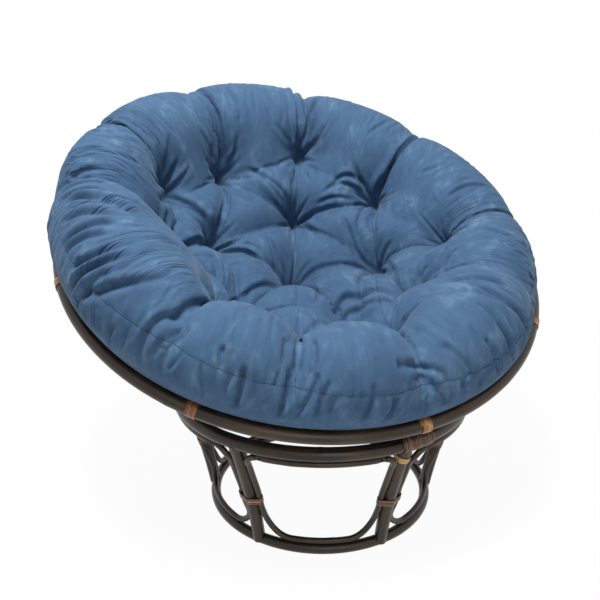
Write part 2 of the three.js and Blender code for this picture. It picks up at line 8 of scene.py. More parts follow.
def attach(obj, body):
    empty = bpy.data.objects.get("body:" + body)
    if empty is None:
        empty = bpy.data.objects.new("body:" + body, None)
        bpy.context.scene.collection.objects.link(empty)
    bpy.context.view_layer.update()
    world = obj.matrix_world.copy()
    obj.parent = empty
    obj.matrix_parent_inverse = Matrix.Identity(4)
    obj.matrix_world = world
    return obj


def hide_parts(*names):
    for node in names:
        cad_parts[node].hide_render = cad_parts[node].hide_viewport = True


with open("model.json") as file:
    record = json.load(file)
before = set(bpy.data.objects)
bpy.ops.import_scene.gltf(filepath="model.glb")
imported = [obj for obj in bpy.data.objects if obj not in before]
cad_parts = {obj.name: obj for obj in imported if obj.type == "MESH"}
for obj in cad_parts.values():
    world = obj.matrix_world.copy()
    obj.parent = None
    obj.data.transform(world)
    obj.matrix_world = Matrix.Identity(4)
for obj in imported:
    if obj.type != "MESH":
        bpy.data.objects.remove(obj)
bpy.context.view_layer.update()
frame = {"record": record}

# Where the bowl hangs and how the stand is turned
joints = {joint["name"]: joint for joint in frame["record"]["behaviour"]["joints"]}
BOWL_CENTRE = np.array(joints["bowl_tilt"]["pos_m"])
BOWL_AXIS = np.array(joints["cushion_lift"]["axis"])
STAND_CENTRE = np.array((0, BOWL_CENTRE[1], 0))
STAND_TURN = math.radians(-19)
FULL_TURN = 2 * math.pi

# The bowl's poles, in metres
RIM_RADIUS, RIM_GIRTH = 0.5205, 0.013
RIB_SPHERE, RIB_GIRTH, RIB_COUNT = 0.58249, 0.009, 8
RIB_START = math.radians(8)
RIM_ANGLE = math.asin(RIM_RADIUS / RIB_SPHERE)
RIM_DROP = RIB_SPHERE * math.cos(RIM_ANGLE)
HUB_RADIUS = 0.106
HOOP_SPHERE, HOOP_GIRTH = 0.56769, 0.0055
HOOPS = {"lower_hoop": 0.5 * RIM_RADIUS, "upper_hoop": 0.797 * RIM_RADIUS}

# The stand's poles
TOP_RING, TOP_GIRTH, TOP_HEIGHT = 0.3115, 0.0135, 0.260
BOTTOM_RING, BOTTOM_GIRTH = 0.239, 0.011
BOTTOM_HEIGHT = 0.0102
POST_FOOT, POST_COUNT, SPLICE_POST = 0.010, 6, 1
POST_STEP = FULL_TURN / POST_COUNT
LOOP_GIRTH, CROWN_BEND, SILL_BEND = 0.006, 0.026, 0.05
# A panel loop leaves its posts for the top ring above one height and for the bottom ring below another
LOOP_RISE, LOOP_SINK = 0.198, 0.107
BAND_HEIGHT = 0.122
STRAP_HEIGHT = TOP_HEIGHT - 0.027
STRAP_POSTS = (1, 5)
# The room between poles that meet, and under a binding
TOUCH, UNDER_PEEL = 0.0003, 0.0022


def smooth(value):
    value = np.clip(value, 0, 1)
    return value * value * (3 - 2 * value)


def turned(points, angle):
    c, s = math.cos(angle), math.sin(angle)
    x, y, z = np.moveaxis(np.asarray(points, float), -1, 0)
    return np.stack([c * x - s * y, s * x + c * y, z], -1)


def bowl_direction(points):
    s, c = -BOWL_AXIS[1], BOWL_AXIS[2]
    x, y, z = np.moveaxis(np.asarray(points, float), -1, 0)
    return np.stack([x, c * y - s * z, s * y + c * z], -1)


def bowl_to_row(points):
    return bowl_direction(points) + BOWL_CENTRE


def stand_direction(points):
    return turned(points, STAND_TURN)


def stand_to_row(points):
    return stand_direction(points) + STAND_CENTRE


def around(radius, angle, height):
    values = (np.asarray(value, float) for value in (radius, angle, height))
    radius, angle, height = np.broadcast_arrays(*values)
    return np.stack([radius * np.cos(angle), radius * np.sin(angle), height], -1)


def unit(vectors):
    return vectors / np.maximum(np.linalg.norm(vectors, axis=-1, keepdims=True), 1e-12)


class Ring:
    """a round pole bent to a circle, for coping other poles against it"""

    def __init__(self, centre, axis, radius):
        self.centre, self.axis, self.radius = np.asarray(centre, float), np.asarray(axis, float), radius

    def away(self, points):
        """the offset of each point from the nearest place on the ring's centreline"""
        off = points - self.centre
        height = off @ self.axis
        flat = off - height[:, None] * self.axis
        return off - unit(flat) * self.radius

    def distance(self, points):
        return np.linalg.norm(self.away(points), axis=-1)


RIM_RING = Ring(bowl_to_row((0, 0, -RIM_DROP)), BOWL_AXIS, RIM_RADIUS)
HUB_RING = Ring(bowl_to_row((0, 0, -math.sqrt(RIB_SPHERE ** 2 - HUB_RADIUS ** 2))), BOWL_AXIS, HUB_RADIUS)
TOP_STAND_RING = Ring(STAND_CENTRE + (0, 0, TOP_HEIGHT), (0, 0, 1), TOP_RING)
BOTTOM_STAND_RING = Ring(STAND_CENTRE + (0, 0, BOTTOM_HEIGHT), (0, 0, 1), BOTTOM_RING)


class Tree:
    """a node tree, with short calls that add a node and join its sockets"""

    def __init__(self, tree):
        self.tree = tree

    def add(self, kind, inputs=None, **settings):
        node = self.tree.nodes.new(kind)
        for name, value in settings.items():
            setattr(node, name, value)
        for name, value in (inputs or {}).items():
            if isinstance(value, bpy.types.NodeSocket):
                self.join(value, node.inputs[name])
            else:
                node.inputs[name].default_value = value
        return node

    def make(self, kind, inputs=None, **settings):
        """adds a node and returns its first output"""
        return self.add(kind, inputs, **settings).outputs[0]

    def join(self, value, socket):
        self.tree.links.new(value, socket)

    def give(self, node, **values):
        """joins values to a node's inputs; returns the tree's own node group"""
        for name, value in values.items():
            self.join(value, node.inputs[name.replace("_", " ")])
        return self.tree

    def math(self, operation, first, second=0.0):
        return self.make("ShaderNodeMath", {0: first, 1: second}, operation=operation)

    def plus(self, first, second):
        return self.math("ADD", first, second)

    def minus(self, first, second):
        return self.math("SUBTRACT", first, second)

    def times(self, first, second):
        return self.math("MULTIPLY", first, second)

    def scaled(self, vector, *shares):
        return self.vector("MULTIPLY", vector, shares)

    def vector(self, operation, first, second):
        return self.make("ShaderNodeVectorMath", {0: first, 1: second}, operation=operation)

    def ramp(self, value, low, high, to_low=0.0, to_high=1.0):
        inputs = {"Value": value, "From Min": low, "From Max": high, "To Min": to_low, "To Max": to_high}
        return self.make("ShaderNodeMapRange", inputs, interpolation_type="SMOOTHSTEP")

    def noise(self, place, scale, detail=3.0, rough=0.5, twist=0.0):
        inputs = {"Vector": place, "Scale": scale, "Detail": detail, "Roughness": rough, "Distortion": twist}
        return self.add("ShaderNodeTexNoise", inputs).outputs["Fac"]

    def mix(self, share, first, second):
        first, second = ((*value, 1) if isinstance(value, tuple) else value for value in (first, second))
        return self.add("ShaderNodeMix", {0: share, 6: first, 7: second}, data_type="RGBA").outputs[2]


SOCKETS = {"colour": "NodeSocketColor", "value": "NodeSocketFloat", "vector": "NodeSocketVector",
           "count": "NodeSocketInt", "shape": "NodeSocketGeometry", "finish": "NodeSocketMaterial"}


def new_group(name, kind, inputs, outputs):
    """a node group with named sockets; returns its tree, its input node and its output node"""
    group = bpy.data.node_groups.new(name, kind)
    for label, sort, value in inputs:
        socket = group.interface.new_socket(label, in_out="INPUT", socket_type=SOCKETS[sort])
        if value is not None:
            socket.default_value = value
    for label, sort in outputs:
        group.interface.new_socket(label, in_out="OUTPUT", socket_type=SOCKETS[sort])
    tree = Tree(group)
    return tree, tree.add("NodeGroupInput").outputs, tree.add("NodeGroupOutput")


# Shader groups: pole grain, peel fibre, suede nap, sewn lines and rubbed places

def make_pole_grain():
    tree, given, out = new_group("Pole grain", "ShaderNodeTree", [
        ("Grain", "vector", None), ("Knuckle", "value", 0.0), ("Dark", "colour", (0.02, 0.012, 0.008, 1)),
        ("Pale", "colour", (0.09, 0.055, 0.03, 1)), ("Streak size", "value", 260.0),
        ("Patch size", "value", 9.0),
    ], [("Color", "colour"), ("Roughness", "value"), ("Height", "value")])
    streak_place = tree.scaled(given["Grain"], 1.0, 1.0, 0.035)
    streak = tree.noise(streak_place, given["Streak size"], 5.0, 0.62)
    patch_place = tree.scaled(given["Grain"], 3.0, 3.0, 1.0)
    patch = tree.noise(patch_place, given["Patch size"], 3.0, 0.55, 0.4)
    pores = tree.noise(tree.scaled(given["Grain"], 1.0, 1.0, 0.12), 1400.0, 2.0)
    lightness = tree.plus(tree.times(streak, 0.62), tree.times(patch, 0.5))
    colour = tree.mix(tree.ramp(lightness, 0.40, 0.74), given["Dark"], given["Pale"])
    edge = tree.times(tree.ramp(given["Knuckle"], 0.25, 0.95), 0.65)
    colour = tree.mix(edge, colour, given["Dark"])
    pore_mask = tree.ramp(pores, 0.60, 0.74)
    colour = tree.mix(tree.times(pore_mask, 0.5), colour, (0.008, 0.005, 0.004))
    rough = tree.plus(tree.times(patch, 0.30), 0.20)
    height = tree.minus(tree.times(streak, 0.7), tree.times(pore_mask, 0.3))
    return tree.give(out, Color=colour, Roughness=rough, Height=height)


def make_peel_fibre():
    tree, given, out = new_group("Peel fibre", "ShaderNodeTree", [
        ("Grain", "vector", None), ("Tint", "value", 0.5), ("Dark", "colour", None), ("Warm", "colour", None),
        ("Pale", "colour", None),
    ], [("Color", "colour"), ("Roughness", "value"), ("Height", "value")])
    fibre = tree.noise(tree.scaled(given["Grain"], 1.0, 1.0, 0.03), 1500.0, 3.0, 0.6)
    stain = tree.noise(tree.scaled(given["Grain"], 1.0, 1.0, 0.7), 130.0, 2.0)
    tint = tree.plus(given["Tint"], tree.times(tree.minus(stain, 0.5), 0.55))
    colour = tree.mix(tree.ramp(tint, 0.05, 0.55), given["Dark"], given["Warm"])
    colour = tree.mix(tree.ramp(tint, 0.55, 1.0), colour, given["Pale"])
    colour = tree.mix(tree.ramp(fibre, 0.56, 0.76, 0.0, 0.65), colour, given["Dark"])
    rough = tree.plus(tree.times(stain, 0.25), 0.32)
    return tree.give(out, Color=colour, Roughness=rough, Height=fibre)


def make_nap():
    tree, given, out = new_group("Suede nap", "ShaderNodeTree", [
        ("Cloth", "vector", None), ("Lay", "vector", None), ("Deep", "colour", None), ("Mid", "colour", None),
        ("Pale", "colour", None), ("Patch size", "value", 11.0), ("Fibre size", "value", 650.0),
    ], [("Color", "colour"), ("Roughness", "value"), ("Height", "value")])
    patch = tree.noise(given["Cloth"], given["Patch size"], 4.0, 0.62, 0.9)
    smear = tree.noise(tree.scaled(given["Cloth"], 1.0, 0.45, 1.0), 46.0, 4.0, 0.6, 0.6)
    brushed = tree.noise(given["Lay"], 26.0, 3.0, 0.55)
    fibre = tree.noise(given["Cloth"], given["Fibre size"], 2.0, 0.7)
    tone = tree.plus(tree.times(patch, 0.50), tree.times(smear, 0.34))
    tone = tree.plus(tone, tree.times(brushed, 0.20))
    tone = tree.plus(tone, tree.times(tree.minus(fibre, 0.5), 0.16))
    colour = tree.mix(tree.ramp(tone, 0.30, 0.54), given["Deep"], given["Mid"])
    colour = tree.mix(tree.ramp(tone, 0.52, 0.72), colour, given["Pale"])
    rough = tree.plus(tree.times(tone, 0.18), 0.78)
    return tree.give(out, Color=colour, Roughness=rough, Height=fibre)


def make_sewn_line():
    tree, given, out = new_group("Sewn line", "ShaderNodeTree", [
        ("Distance", "value", 0.0), ("Width", "value", 0.0012), ("Along", "value", 0.0),
        ("Stitch", "value", 0.0035),
    ], [("Mask", "value"), ("Height", "value")])
    near = tree.math("DIVIDE", tree.math("ABSOLUTE", given["Distance"]), given["Width"])
    # The line's middle, given out as Mask, is where the suede is darkened: painted shade in the seam's groove
    line = tree.ramp(near, 1.0, 0.0)
    swell = tree.ramp(near, 3.5, 1.0, 0.0, 0.5)
    stitch = tree.math("FRACT", tree.math("DIVIDE", given["Along"], given["Stitch"]))
    stitch = tree.ramp(tree.math("ABSOLUTE", tree.minus(stitch, 0.5)), 0.15, 0.35)
    pull = tree.plus(tree.times(stitch, 0.4), 0.6)
    height = tree.minus(swell, tree.times(tree.times(line, pull), 1.5))
    return tree.give(out, Mask=line, Height=height)


def make_rubbed():
    tree, given, out = new_group("Rubbed places", "ShaderNodeTree", [
        ("Place", "vector", None), ("Size", "value", 30.0), ("Amount", "value", 0.3),
    ], [("Mask", "value")])
    broad = tree.noise(given["Place"], given["Size"], 3.0, 0.6)
    fine = tree.noise(given["Place"], tree.times(given["Size"], 14.0), 2.0, 0.6)
    both = tree.times(tree.ramp(broad, 0.52, 0.72), tree.ramp(fine, 0.40, 0.66))
    return tree.give(out, Mask=tree.times(both, given["Amount"]))


POLE_GRAIN, PEEL_FIBRE, NAP = make_pole_grain(), make_peel_fibre(), make_nap()
SEWN_LINE, RUBBED = make_sewn_line(), make_rubbed()


def new_material(name, **shader):
    """a material with its plain values set on the shader; returns the material, its tree and its shader"""
    material = bpy.data.materials.new(name)
    material.use_nodes = True
    tree = Tree(material.node_tree)
    principled = material.node_tree.nodes["Principled BSDF"]
    for socket, value in shader.items():
        principled.inputs[socket.replace("_", " ")].default_value = value
    return material, tree, principled


def use(tree, group, inputs):
    return tree.add("ShaderNodeGroup", inputs, node_tree=group).outputs


def attribute(tree, name, output="Vector"):
    return tree.add("ShaderNodeAttribute", attribute_name=name).outputs[output]


def bump(tree, principled, height, strength, distance):
    node = tree.add("ShaderNodeBump", {"Height": height, "Strength": strength, "Distance": distance})
    tree.join(node.outputs[0], principled.inputs["Normal"])


def pole_finish(name, dark, pale, rubbed, streak, rub_colour):
    gloss = {"Coat_Weight": 0.10, "Coat_Roughness": 0.24, "Specular_IOR_Level": 0.32}
    material, tree, shader = new_material(name, **gloss)
    grain = attribute(tree, "grain")
    pole = use(tree, POLE_GRAIN, {
        "Grain": grain, "Knuckle": attribute(tree, "knuckle", "Fac"), "Dark": (*dark, 1), "Pale": (*pale, 1),
        "Streak size": streak})
    rub = use(tree, RUBBED, {"Place": grain, "Size": 24.0, "Amount": rubbed})["Mask"]
    rough = tree.plus(pole["Roughness"], tree.times(rub, 0.3))
    tree.give(shader, Base_Color=tree.mix(rub, pole["Color"], rub_colour), Roughness=rough)
    bump(tree, shader, pole["Height"], 0.35, 0.0006)
    return material


def peel_finish(name, dark, warm, pale):
    material, tree, shader = new_material(name, Coat_Weight=0.22, Coat_Roughness=0.25)
    grain = attribute(tree, "grain")
    peel = use(tree, PEEL_FIBRE, {
        "Grain": grain, "Tint": attribute(tree, "tint", "Fac"), "Dark": (*dark, 1), "Warm": (*warm, 1),
        "Pale": (*pale, 1)})
    rub = use(tree, RUBBED, {"Place": grain, "Size": 160.0, "Amount": 0.35})["Mask"]
    tree.give(shader, Base_Color=tree.mix(rub, peel["Color"], dark), Roughness=peel["Roughness"])
    bump(tree, shader, peel["Height"], 0.5, 0.0004)
    return material


def metal_finish(name, colour, tarnish, roughness):
    material, tree, shader = new_material(name, Metallic=1.0)
    place = tree.add("ShaderNodeTexCoord").outputs["Object"]
    stain = tree.noise(place, 420.0, 3.0, 0.6)
    rough = tree.plus(tree.times(stain, 0.3), roughness)
    tree.give(shader, Base_Color=tree.mix(tree.ramp(stain, 0.4, 0.7), colour, tarnish), Roughness=rough)
    bump(tree, shader, stain, 0.2, 0.0003)
    return material


# Paths for the trees below: a line is a row of points, each with a girth, a phase, a tint and a way out

def line(points, girth, closed=False, out=None, phase=0.0, tint=0.5):
    points = np.asarray(points, float)
    count = len(points)
    out = np.zeros((count, 3)) if out is None else np.asarray(out, float)
    values = {"girth": girth, "phase": phase, "tint": tint}
    values = {key: np.broadcast_to(np.asarray(value, float), (count,)) for key, value in values.items()}
    return {"points": points, "closed": closed, "out": out, **values}


def placed_object(name, data):
    piece = bpy.data.objects.new(name, data)
    bpy.context.scene.collection.objects.link(piece)
    return piece


def keep_values(mesh, name, values):
    """writes a number or a direction for each corner of a mesh"""
    values = np.asarray(values, np.float32)
    kind, field = ("FLOAT", "value") if values.ndim == 1 else ("FLOAT_VECTOR", "vector")
    mesh.attributes.new(name, kind, "POINT").data.foreach_set(field, values.ravel())


def path_object(name, lines):
    points, edges, start = [], [], 0
    for each in lines:
        count = len(each["points"])
        points.append(each["points"])
        edges += [(start + i, start + i + 1) for i in range(count - 1)]
        if each["closed"]:
            edges.append((start + count - 1, start))
        start += count
    mesh = bpy.data.meshes.new(name)
    mesh.from_pydata(np.vstack(points).tolist(), edges, [])
    for key in ("girth", "phase", "tint", "out"):
        keep_values(mesh, key, np.concatenate([each[key] for each in lines]))
    return placed_object(name, mesh)


def named(tree, name, kind="FLOAT"):
    node = tree.add("GeometryNodeInputNamedAttribute", data_type=kind)
    node.inputs["Name"].default_value = name
    return node.outputs["Attribute"]


def capture(tree, shape, items):
    """keeps values on a curve's points; returns the shape and the kept values"""
    node = tree.add("GeometryNodeCaptureAttribute", {"Geometry": shape}, domain="POINT")
    for index, (label, kind, value) in enumerate(items):
        node.capture_items.new(kind, label)
        tree.join(value, node.inputs[index + 1])
    return node.outputs[0], [node.outputs[index + 1] for index in range(len(items))]


def store(tree, shape, name, kind, value):
    inputs = {"Geometry": shape, "Name": name, "Value": value}
    return tree.make("GeometryNodeStoreNamedAttribute", inputs, data_type=kind, domain="POINT")


def swept(tree, curve, outline, size):
    inputs = {"Curve": curve, "Profile Curve": outline, "Scale": size, "Fill Caps": True}
    return tree.make("GeometryNodeCurveToMesh", inputs)


def finish_shape(tree, shape, material, out):
    shape = tree.make("GeometryNodeSetShadeSmooth", {"Geometry": shape})
    shape = tree.make("GeometryNodeRealizeInstances", {"Geometry": shape})
    shape = tree.make("GeometryNodeSetMaterial", {"Geometry": shape, "Material": material})
    tree.join(shape, out.inputs[0])


def make_pole_tree():
    """a round pole along each path, with a swollen knuckle every so often"""
    tree, given, out = new_group("Rattan pole", "GeometryNodeTree", [
        ("Paths", "shape", None), ("Sides", "count", 20), ("Knuckle spacing", "value", 0.28),
        ("Knuckle width", "value", 0.006), ("Knuckle swell", "value", 0.05), ("Finish", "finish", None),
    ], [("Piece", "shape")])
    curve = tree.make("GeometryNodeMeshToCurve", {"Mesh": given["Paths"]})
    along = tree.plus(tree.add("GeometryNodeSplineParameter").outputs["Length"], named(tree, "phase"))
    girth = named(tree, "girth")
    place = tree.math("FRACT", tree.math("DIVIDE", along, given["Knuckle spacing"]))
    gap = tree.times(tree.math("ABSOLUTE", tree.minus(place, 0.5)), given["Knuckle spacing"])
    knuckle = tree.ramp(tree.math("DIVIDE", gap, given["Knuckle width"]), 1.0, 0.0)
    curve, (along, girth, knuckle) = capture(
        tree, curve, [("Along", "FLOAT", along), ("Girth", "FLOAT", girth), ("Knuckle", "FLOAT", knuckle)])
    factor = tree.add("GeometryNodeSplineParameter").outputs["Factor"]
    circle = tree.make("GeometryNodeCurvePrimitiveCircle", {"Resolution": given["Sides"], "Radius": 1.0})
    circle, (turn,) = capture(tree, circle, [("Turn", "FLOAT", tree.times(factor, FULL_TURN))])
    size = tree.times(girth, tree.plus(tree.times(knuckle, given["Knuckle swell"]), 1.0))
    tube = swept(tree, curve, circle, size)
    across = tree.times(tree.math("COSINE", turn), girth)
    over = tree.times(tree.math("SINE", turn), girth)
    grain = tree.make("ShaderNodeCombineXYZ", {"X": across, "Y": over, "Z": along})
    shape = store(tree, tube, "grain", "FLOAT_VECTOR", grain)
    shape = store(tree, shape, "knuckle", "FLOAT", knuckle)
    finish_shape(tree, shape, given["Finish"], out)
    return tree.tree


def make_peel_tree():
    """a flat strip of peel along each path, lying on what it is wound round"""
    tree, given, out = new_group("Peel strip", "GeometryNodeTree", [
        ("Paths", "shape", None), ("Sides", "count", 10), ("Width", "value", 0.005),
        ("Thickness", "value", 0.0012), ("Finish", "finish", None),
    ], [("Piece", "shape")])
    curve = tree.make("GeometryNodeMeshToCurve", {"Mesh": given["Paths"]})
    facing = tree.add("GeometryNodeSetCurveNormal", {"Curve": curve}, mode="FREE")
    tree.join(named(tree, "out", "FLOAT_VECTOR"), facing.inputs["Normal"])
    along = tree.plus(tree.add("GeometryNodeSplineParameter").outputs["Length"], named(tree, "phase"))
    curve, (along, wide) = capture(
        tree, facing.outputs[0], [("Along", "FLOAT", along), ("Wide", "FLOAT", named(tree, "girth"))])
    circle = tree.make("GeometryNodeCurvePrimitiveCircle", {"Resolution": given["Sides"], "Radius": 0.5})
    flat = tree.make("ShaderNodeCombineXYZ", {"X": given["Thickness"], "Y": given["Width"], "Z": 1.0})
    oval = tree.make("GeometryNodeTransform", {"Geometry": circle, "Scale": flat})
    oval, (place,) = capture(
        tree, oval, [("Place", "VECTOR", tree.add("GeometryNodeInputPosition").outputs[0])])
    tube = swept(tree, curve, oval, wide)
    place = tree.add("ShaderNodeSeparateXYZ", {0: place}).outputs
    grain = tree.make("ShaderNodeCombineXYZ", {"X": place[0], "Y": place[1], "Z": along})
    shape = store(tree, tube, "grain", "FLOAT_VECTOR", grain)
    finish_shape(tree, shape, given["Finish"], out)
    return tree.tree


def make_nail_tree():
    """a domed nail head at each point, facing the way the point's surface faces"""
    tree, given, out = new_group("Nail heads", "GeometryNodeTree", [
        ("Paths", "shape", None), ("Radius", "value", 0.002), ("Dome", "value", 0.45),
        ("Finish", "finish", None),
    ], [("Piece", "shape")])
    points = tree.make("GeometryNodeMeshToPoints", {"Mesh": given["Paths"]})
    ball = tree.make("GeometryNodeMeshUVSphere", {"Segments": 12, "Rings": 7, "Radius": given["Radius"]})
    squash = tree.make("ShaderNodeCombineXYZ", {"X": 1.0, "Y": 1.0, "Z": given["Dome"]})
    head = tree.make("GeometryNodeTransform", {"Geometry": ball, "Scale": squash})
    facing = tree.add("FunctionNodeAlignRotationToVector", axis="Z")
    tree.join(named(tree, "out", "FLOAT_VECTOR"), facing.inputs["Vector"])
    placed = tree.make("GeometryNodeInstanceOnPoints", {
        "Points": points, "Instance": head, "Rotation": facing.outputs[0], "Scale": named(tree, "girth")})
    finish_shape(tree, placed, given["Finish"], out)
    return tree.tree


POLE, PEEL, NAIL = make_pole_tree(), make_peel_tree(), make_nail_tree()


def grow(name, tree, lines, sizes):
    """runs a tree over a set of paths and keeps the result as a plain mesh"""
    source = path_object(name + "_path", lines)
    modifier = source.modifiers.new("Grow", "NODES")
    modifier.node_group = tree
    for socket in tree.interface.items_tree:
        if socket.item_type == "SOCKET" and socket.in_out == "INPUT" and socket.name in sizes:
            modifier[socket.identifier] = sizes[socket.name]
    depsgraph = bpy.context.evaluated_depsgraph_get()
    shape = source.evaluated_get(depsgraph)
    mesh = bpy.data.meshes.new_from_object(shape, preserve_all_data_layers=True, depsgraph=depsgraph)
    mesh.name = name
    spare = source.data
    bpy.data.objects.remove(source)
    bpy.data.meshes.remove(spare)
    return placed_object(name, mesh)


def corners(piece):
    points = np.empty(len(piece.data.vertices) * 3, np.float32)
    piece.data.vertices.foreach_get("co", points)
    return points.reshape(-1, 3).astype(float)


def move_corners(piece, points):
    piece.data.vertices.foreach_set("co", points.astype(np.float32).ravel())
    piece.data.update()


def cope(piece, ring, girth, slide):
    """slides the corners that lie inside a ring's pole back along their own pole until they clear it"""
    points = corners(piece)
    slide = np.asarray(slide, float)
    low, high = np.zeros(len(points)), np.full(len(points), 0.06)
    inside = ring.distance(points) < girth
    for _ in range(24):
        middle = (low + high) / 2
        still = ring.distance(points + middle[:, None] * slide) < girth
        low, high = np.where(still, middle, low), np.where(still, high, middle)
    points[inside] += high[inside, None] * slide
    move_corners(piece, points)


def dress(piece, body, slot, *nodes):
    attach(piece, body)
    if nodes:
        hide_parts(*nodes)


def pole(name, body, slot, path, sides, spacing, width, swell, *ends):
    """a round pole for the node of its name; its ends are coped to rings, each with a girth and a way back"""
    piece = grow(name, POLE, [path], {"Sides": sides, "Knuckle spacing": spacing, "Knuckle width": width,
                                      "Knuckle swell": swell, "Finish": POLES[slot]})
    for ring, girth, slide in ends:
        cope(piece, ring, girth, slide)
    dress(piece, body, slot, name.replace("_pole", ""))
    return piece


def wrap(name, body, slot, path, width, thickness=0.0014, sides=10, finish=None, node=None):
    """a length of peel for the node of its name, or for another node"""
    sizes = {"Sides": sides, "Width": width, "Thickness": thickness, "Finish": finish or peel}
    dress(grow(name, PEEL, [path], sizes), body, slot, node or name.replace("_peel", ""))


# Finishes of the frame
dark_pole = pole_finish(
    "dark_pole", dark=(0.012, 0.0072, 0.0034), pale=(0.066, 0.038, 0.017), rubbed=0.34, streak=240.0,
    rub_colour=(0.12, 0.070, 0.036))
thin_pole = pole_finish(
    "thin_pole", dark=(0.014, 0.0084, 0.0042), pale=(0.074, 0.042, 0.019), rubbed=0.38, streak=330.0,
    rub_colour=(0.13, 0.076, 0.040))
POLES = {"dark_pole": dark_pole, "thin_pole": thin_pole}
peel = peel_finish("peel", (0.042, 0.020, 0.010), (0.30, 0.100, 0.026), (0.50, 0.30, 0.11))
pale_peel = peel_finish("pale_peel", (0.16, 0.085, 0.025), (0.46, 0.27, 0.07), (0.62, 0.43, 0.14))
dull_peel = peel_finish("dull_peel", (0.040, 0.022, 0.013), (0.17, 0.080, 0.038), (0.40, 0.25, 0.11))
brass = metal_finish("brass", (0.62, 0.42, 0.16), (0.30, 0.19, 0.08), 0.25)
dark_steel = metal_finish("dark_steel", (0.09, 0.075, 0.06), (0.03, 0.025, 0.02), 0.40)


def ring_line(radius, girth, height, start, count, place, wander=0.012):
    """a closed ring whose girth wanders a little, as a real pole's does"""
    angles = start + np.arange(count) * FULL_TURN / count
    real = girth * (1 - wander + wander * 0.6 * np.sin(3 * angles + 1) + wander * 0.4 * np.sin(7 * angles))
    return line(place(around(radius, angles, height)), real, closed=True)


def rib_angle(index):
    return RIB_START + index * FULL_TURN / RIB_COUNT


def on_sphere(radius, ring):
    return -math.sqrt(radius ** 2 - ring ** 2)


def make_bowl():
    rim = ring_line(RIM_RADIUS, RIM_GIRTH, -RIM_DROP, rib_angle(2), 288, bowl_to_row)
    pole("rim_pole", "bowl", "dark_pole", rim, 28, 0.337, 0.007, 0.035)
    hub = ring_line(HUB_RADIUS, RIB_GIRTH, on_sphere(RIB_SPHERE, HUB_RADIUS), rib_angle(3), 96, bowl_to_row)
    pole("hub_ring_pole", "bowl", "thin_pole", hub, 20, 0.2, 0.005, 0.04)
    for name, radius in HOOPS.items():
        hoop = ring_line(radius, HOOP_GIRTH, on_sphere(HOOP_SPHERE, radius), rib_angle(2), 160, bowl_to_row)
        pole(name + "_pole", "bowl", "thin_pole", hoop, 14, 0.23, 0.004, 0.05)
    foot = math.asin(HUB_RADIUS / RIB_SPHERE)
    head = RIM_ANGLE - RIM_GIRTH / 2 / RIB_SPHERE
    for index in range(RIB_COUNT):
        angle = np.linspace(foot, head, 48)
        across = around(1, rib_angle(index), 0)
        radial = lambda turn: np.outer(np.sin(turn), across) + np.outer(-np.cos(turn), (0, 0, 1))
        points = bowl_to_row(RIB_SPHERE * radial(angle))
        girth = RIB_GIRTH * (1.0 - 0.05 * np.linspace(0, 1, 48))
        pole(f"rib_pole_{index + 1}", "bowl", "thin_pole", line(points, girth, phase=0.11 * index),
             18, 0.26, 0.005, 0.05, (HUB_RING, RIB_GIRTH + TOUCH, unit(points[1] - points[0])),
             (RIM_RING, RIM_GIRTH + UNDER_PEEL, unit(points[-2] - points[-1])))


def winding(turns, steps, tints):
    """the share along a winding of each of its points, and the tint of the turn that it is in"""
    share = np.linspace(0, 1, int(turns * steps) + 1)
    return share, np.asarray(tints)[np.minimum((share * turns).astype(int), len(tints) - 1)]


def wound(centre, side, over, radius, turns, steps, tints, start=0.0):
    """a helix of peel; centre, side and over give the pole's middle and its two cross directions along it"""
    share, tint = winding(turns, steps, tints)
    turn = start + share * turns * FULL_TURN
    out = np.cos(turn)[:, None] * side(share) + np.sin(turn)[:, None] * over(share)
    return line(centre(share) + radius * out, 1.0, out=out, tint=tint)


RIM_BINDING, RIM_BINDING_TURNS = 0.027, 4.6
# How yellow each rim binding's peel is, from brown at 0 to straw at 1
RIM_BINDING_TINTS = (0.5, 0.45, 0.55, 0.5, 0.85, 0.42, 0.68, 0.72)


def make_rim_bindings():
    chance = np.random.default_rng(11)
    for index in range(RIB_COUNT):
        def angle(share):
            return rib_angle(index) + (share - 0.5) * (RIM_BINDING - 0.006) / RIM_RADIUS
        centre = lambda share: bowl_to_row(around(RIM_RADIUS, angle(share), -RIM_DROP))
        side = lambda share: bowl_direction(around(1, angle(share), 0))
        over = lambda share: bowl_direction(np.broadcast_to((0, 0, 1), (len(share), 3)))
        tints = RIM_BINDING_TINTS[index] + chance.uniform(-0.22, 0.18, 6)
        path = wound(centre, side, over, RIM_GIRTH + 0.0009, RIM_BINDING_TURNS, 26, tints,
                     start=chance.uniform(0, 6))
        wrap(f"rim_binding_peel_{index + 1}", "bowl", "peel", path, 0.0056, 0.0015)


def post_place(share):
    """radius and height of a post's middle, and its slope, in the plane of the post"""
    foot = np.array((BOTTOM_RING + 0.0035, POST_FOOT))
    head = np.array((TOP_RING, TOP_HEIGHT))
    waist = np.array((foot[0] + (head[0] - foot[0]) * 0.3, (foot[1] + head[1]) / 2))
    t = np.asarray(share, float)[..., None]
    place = (1 - t) ** 2 * foot + 2 * t * (1 - t) * waist + t ** 2 * head
    slope = unit(2 * (1 - t) * (waist - foot) + 2 * t * (head - waist))
    return place, slope


def post_share(height):
    return (np.asarray(height, float) - POST_FOOT) / (TOP_HEIGHT - POST_FOOT)


def post_angle(index):
    return -math.pi / 2 + (index - 0.5) * POST_STEP


def post_frame(index, height):
    """a post's middle at a height, with the directions across it, out of the stand and along it"""
    place, slope = post_place(post_share(height))
    angle = post_angle(index)
    middle = around(place[..., 0], angle, 0) + place[..., 1, None] * np.array((0, 0, 1))
    along = around(slope[..., 0], angle, 0) + slope[..., 1, None] * np.array((0, 0, 1))
    across = np.broadcast_to(around(1, angle + math.pi / 2, 0), along.shape)
    out = np.cross(across, along)
    return stand_to_row(middle), stand_direction(across), stand_direction(out), stand_direction(along)


